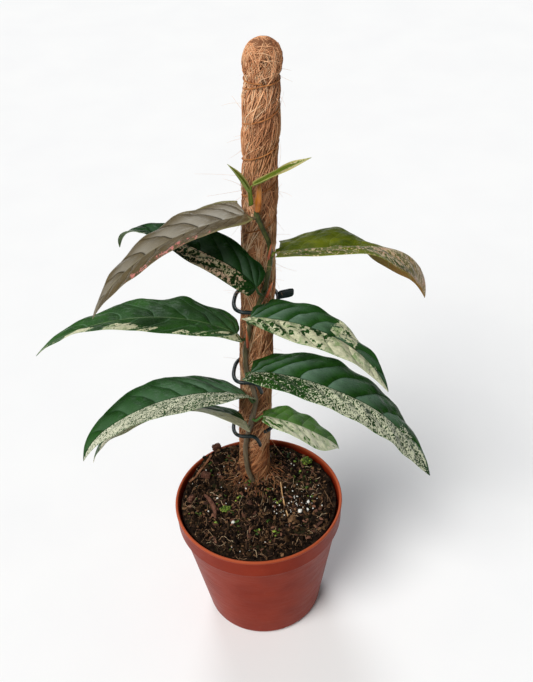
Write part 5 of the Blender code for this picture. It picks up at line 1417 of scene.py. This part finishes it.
# moss and sprouting leaflets
def leaflets(bag, centres, size, seed, up=0.5, cup=0.25):
    """small round green leaflets, each a thin closed disc"""
    r = np.random.default_rng(seed)
    k, m = 10, len(centres)
    th = 2 * math.pi * np.arange(k) / k
    for c, s in zip(centres, size):
        n = np.array([r.normal(0, up), r.normal(0, up), 1.0])
        n /= np.linalg.norm(n)
        a = np.cross(n, [0, 1, 0])
        a /= np.linalg.norm(a)
        b = np.cross(n, a)
        long = r.uniform(1.0, 1.5)
        rim = c + (a * np.cos(th)[:, None] * s * long + b * np.sin(th)[:, None] * s) + n * s * cup * (1 + 0.2 * r.normal(size=(k, 1)))
        v = np.vstack([rim + n * 0.06, rim - n * 0.06, [c + n * 0.08], [c - n * 0.08]])
        j = np.arange(k)
        jn = (j + 1) % k
        bag.add(v, np.stack([k + j, k + jn, jn, j], -1), np.vstack([np.stack([np.full(k, 2 * k), j, jn], -1), np.stack([np.full(k, 2 * k + 1), k + jn, k + j], -1)]),
                fc=r.uniform(0, 1))


moss_mat = grain_material("moss_green", [(0.0, (0.012, 0.034, 0.003)), (0.50, (0.060, 0.115, 0.008)), (1.0, (0.30, 0.40, 0.05))], 5.0, 0.6, 0.35, 0.4, 0.0003)
for node, r0, seed in (("moss_right", 4.2, 5), ("moss_left", 3.6, 6)):
    lo, hi = mm_box(node)
    c = np.array([(lo[k] + hi[k]) / 2 for k in range(3)])
    r = np.random.default_rng(seed)
    bag = Bag()
    v, f = ico()[2]
    hs = np.array([(hi[k] - lo[k]) / 2 for k in range(3)])
    bag.add(c + v * (hs * 0.70) * (1 + 0.14 * Waves(seed, 0.6, 3)(v[:, 0], v[:, 1], v[:, 2]))[:, None], tris=f, fc=0.02)
    d = r.normal(size=(90, 3))
    d[:, 2] = abs(d[:, 2])
    d /= np.linalg.norm(d, axis=1)[:, None]
    leaflets(bag, c + d * hs * r.uniform(0.60, 1.02, (90, 1)), r.uniform(0.30, 1.05, 90), seed, up=1.0, cup=0.35)
    bag.make(node + "_tuft", moss_mat, node=node, slot="moss")

bag = Bag()
groups = [(-6, 8), (-14, -2), (-20, -12), (-24, 2), (-42, -12), (-30, -20), (-16, -24), (8, 2), (14, -6), (36, 6), (34, 22), (30, 34), (22, 42), (-34, 22), (-36, 30), (-22, 30), (6, -22), (12, -34), (-2, -30), (28, 14), (40, -2), (-46, 2)]
pts, sz = [], []
for gx, gy in groups:
    for _ in range(rng.integers(3, 8)):
        x, y = gx + rng.normal(0, 1.6), gy + rng.normal(0, 1.6)
        if math.hypot(x, y) < 53:
            pts.append([x, y, POT_H + float(crust_h(np.array(x), np.array(y))) + rng.uniform(0.3, 1.2)])
            sz.append(rng.uniform(0.45, 1.15))
for x, y in scatter(90, 52.0):
    pts.append([x, y, POT_H + float(crust_h(np.array(x), np.array(y))) + rng.uniform(0.2, 0.6)])
    sz.append(rng.uniform(0.25, 0.6))
leaflets(bag, np.array(pts), np.array(sz), 33)
bag.make("soil_leaflets", moss_mat, slot="moss")

# the soil's own solid stays as the fill below the crust
fill = simple_material("peat_fill", (0.012, 0.007, 0.005), (0.045, 0.025, 0.015), 3.0, rough=0.95, bump_scale=10.0, bump=0.9, dist=0.001, spec=0.1, detail=6.0)
soil_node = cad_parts["soil"]
for i in range(len(soil_node.material_slots)):
    soil_node.material_slots[i].material = fill
if not soil_node.material_slots:
    soil_node.data.materials.append(fill)

# ---- floor, light and camera -------------------------------------------------------------------------------
bm = bmesh.new()
bmesh.ops.create_grid(bm, x_segments=8, y_segments=8, size=3.0)
fm = bpy.data.meshes.new("floor")
bm.to_mesh(fm)
bm.free()
floor = bpy.data.objects.new("floor", fm)
floor.location.z = -0.0002
col.objects.link(floor)
g = Graph("floor_paper", 0.85, 0.2)
fm.materials.append(g.end(g.mix(g.span(g.noise(g.obj(), 0.12, 2.0), 0.3, 0.7), (0.86, 0.86, 0.865), (0.88, 0.88, 0.88)), 0.85))
floor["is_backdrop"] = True

scene = bpy.context.scene
world = bpy.data.worlds.new("soft_sky")
scene.world = world
world.use_nodes = True
world.node_tree.nodes["Background"].inputs[0].default_value = (0.96, 0.98, 1.0, 1.0)
world.node_tree.nodes["Background"].inputs[1].default_value = 0.18


def sun(name, toward, strength, spread, color=(1, 1, 1)):
    """toward is the direction from the object to the light"""
    d = bpy.data.lights.new(name, "SUN")
    d.energy = strength
    d.angle = math.radians(spread)
    d.color = color
    o = bpy.data.objects.new(name, d)
    o.rotation_euler = Vector(toward).to_track_quat("Z", "Y").to_euler()
    scene.collection.objects.link(o)


sun("window_light", (-0.44, -0.50, 0.75), 3.10, 36, (1.0, 0.99, 0.97))
sun("far_window", (-0.15, 0.70, 0.70), 0.95, 23, (0.92, 0.96, 1.0))
scene.view_settings.view_transform = "Standard"
scene.view_settings.look = "None"

# camera: 1000 pixels of focal length on the 682 pixel side
D, ELEV, ROLL = 0.6316, math.radians(38.45), math.radians(-3.2)
target = Vector((0.0120, 0.0, (POT_H + 142.6) * MM))
back = Vector((0.0, -math.cos(ELEV), math.sin(ELEV)))
right, up = Vector((1, 0, 0)), Vector((0, math.sin(ELEV), math.cos(ELEV)))
r2 = right * math.cos(ROLL) + up * math.sin(ROLL)
u2 = -right * math.sin(ROLL) + up * math.cos(ROLL)
cd = bpy.data.cameras.new("view")
cd.sensor_width = 36.0
cd.lens = 1000.0 * 36.0 / 682.0
cd.clip_start, cd.clip_end = 0.02, 20.0
cam = bpy.data.objects.new("view", cd)
pos = target + back * D
m4 = Matrix((r2, u2, back)).transposed().to_4x4()
m4.translation = pos
cam.matrix_world = m4
scene.collection.objects.link(cam)
scene.camera = cam

lo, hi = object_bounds()
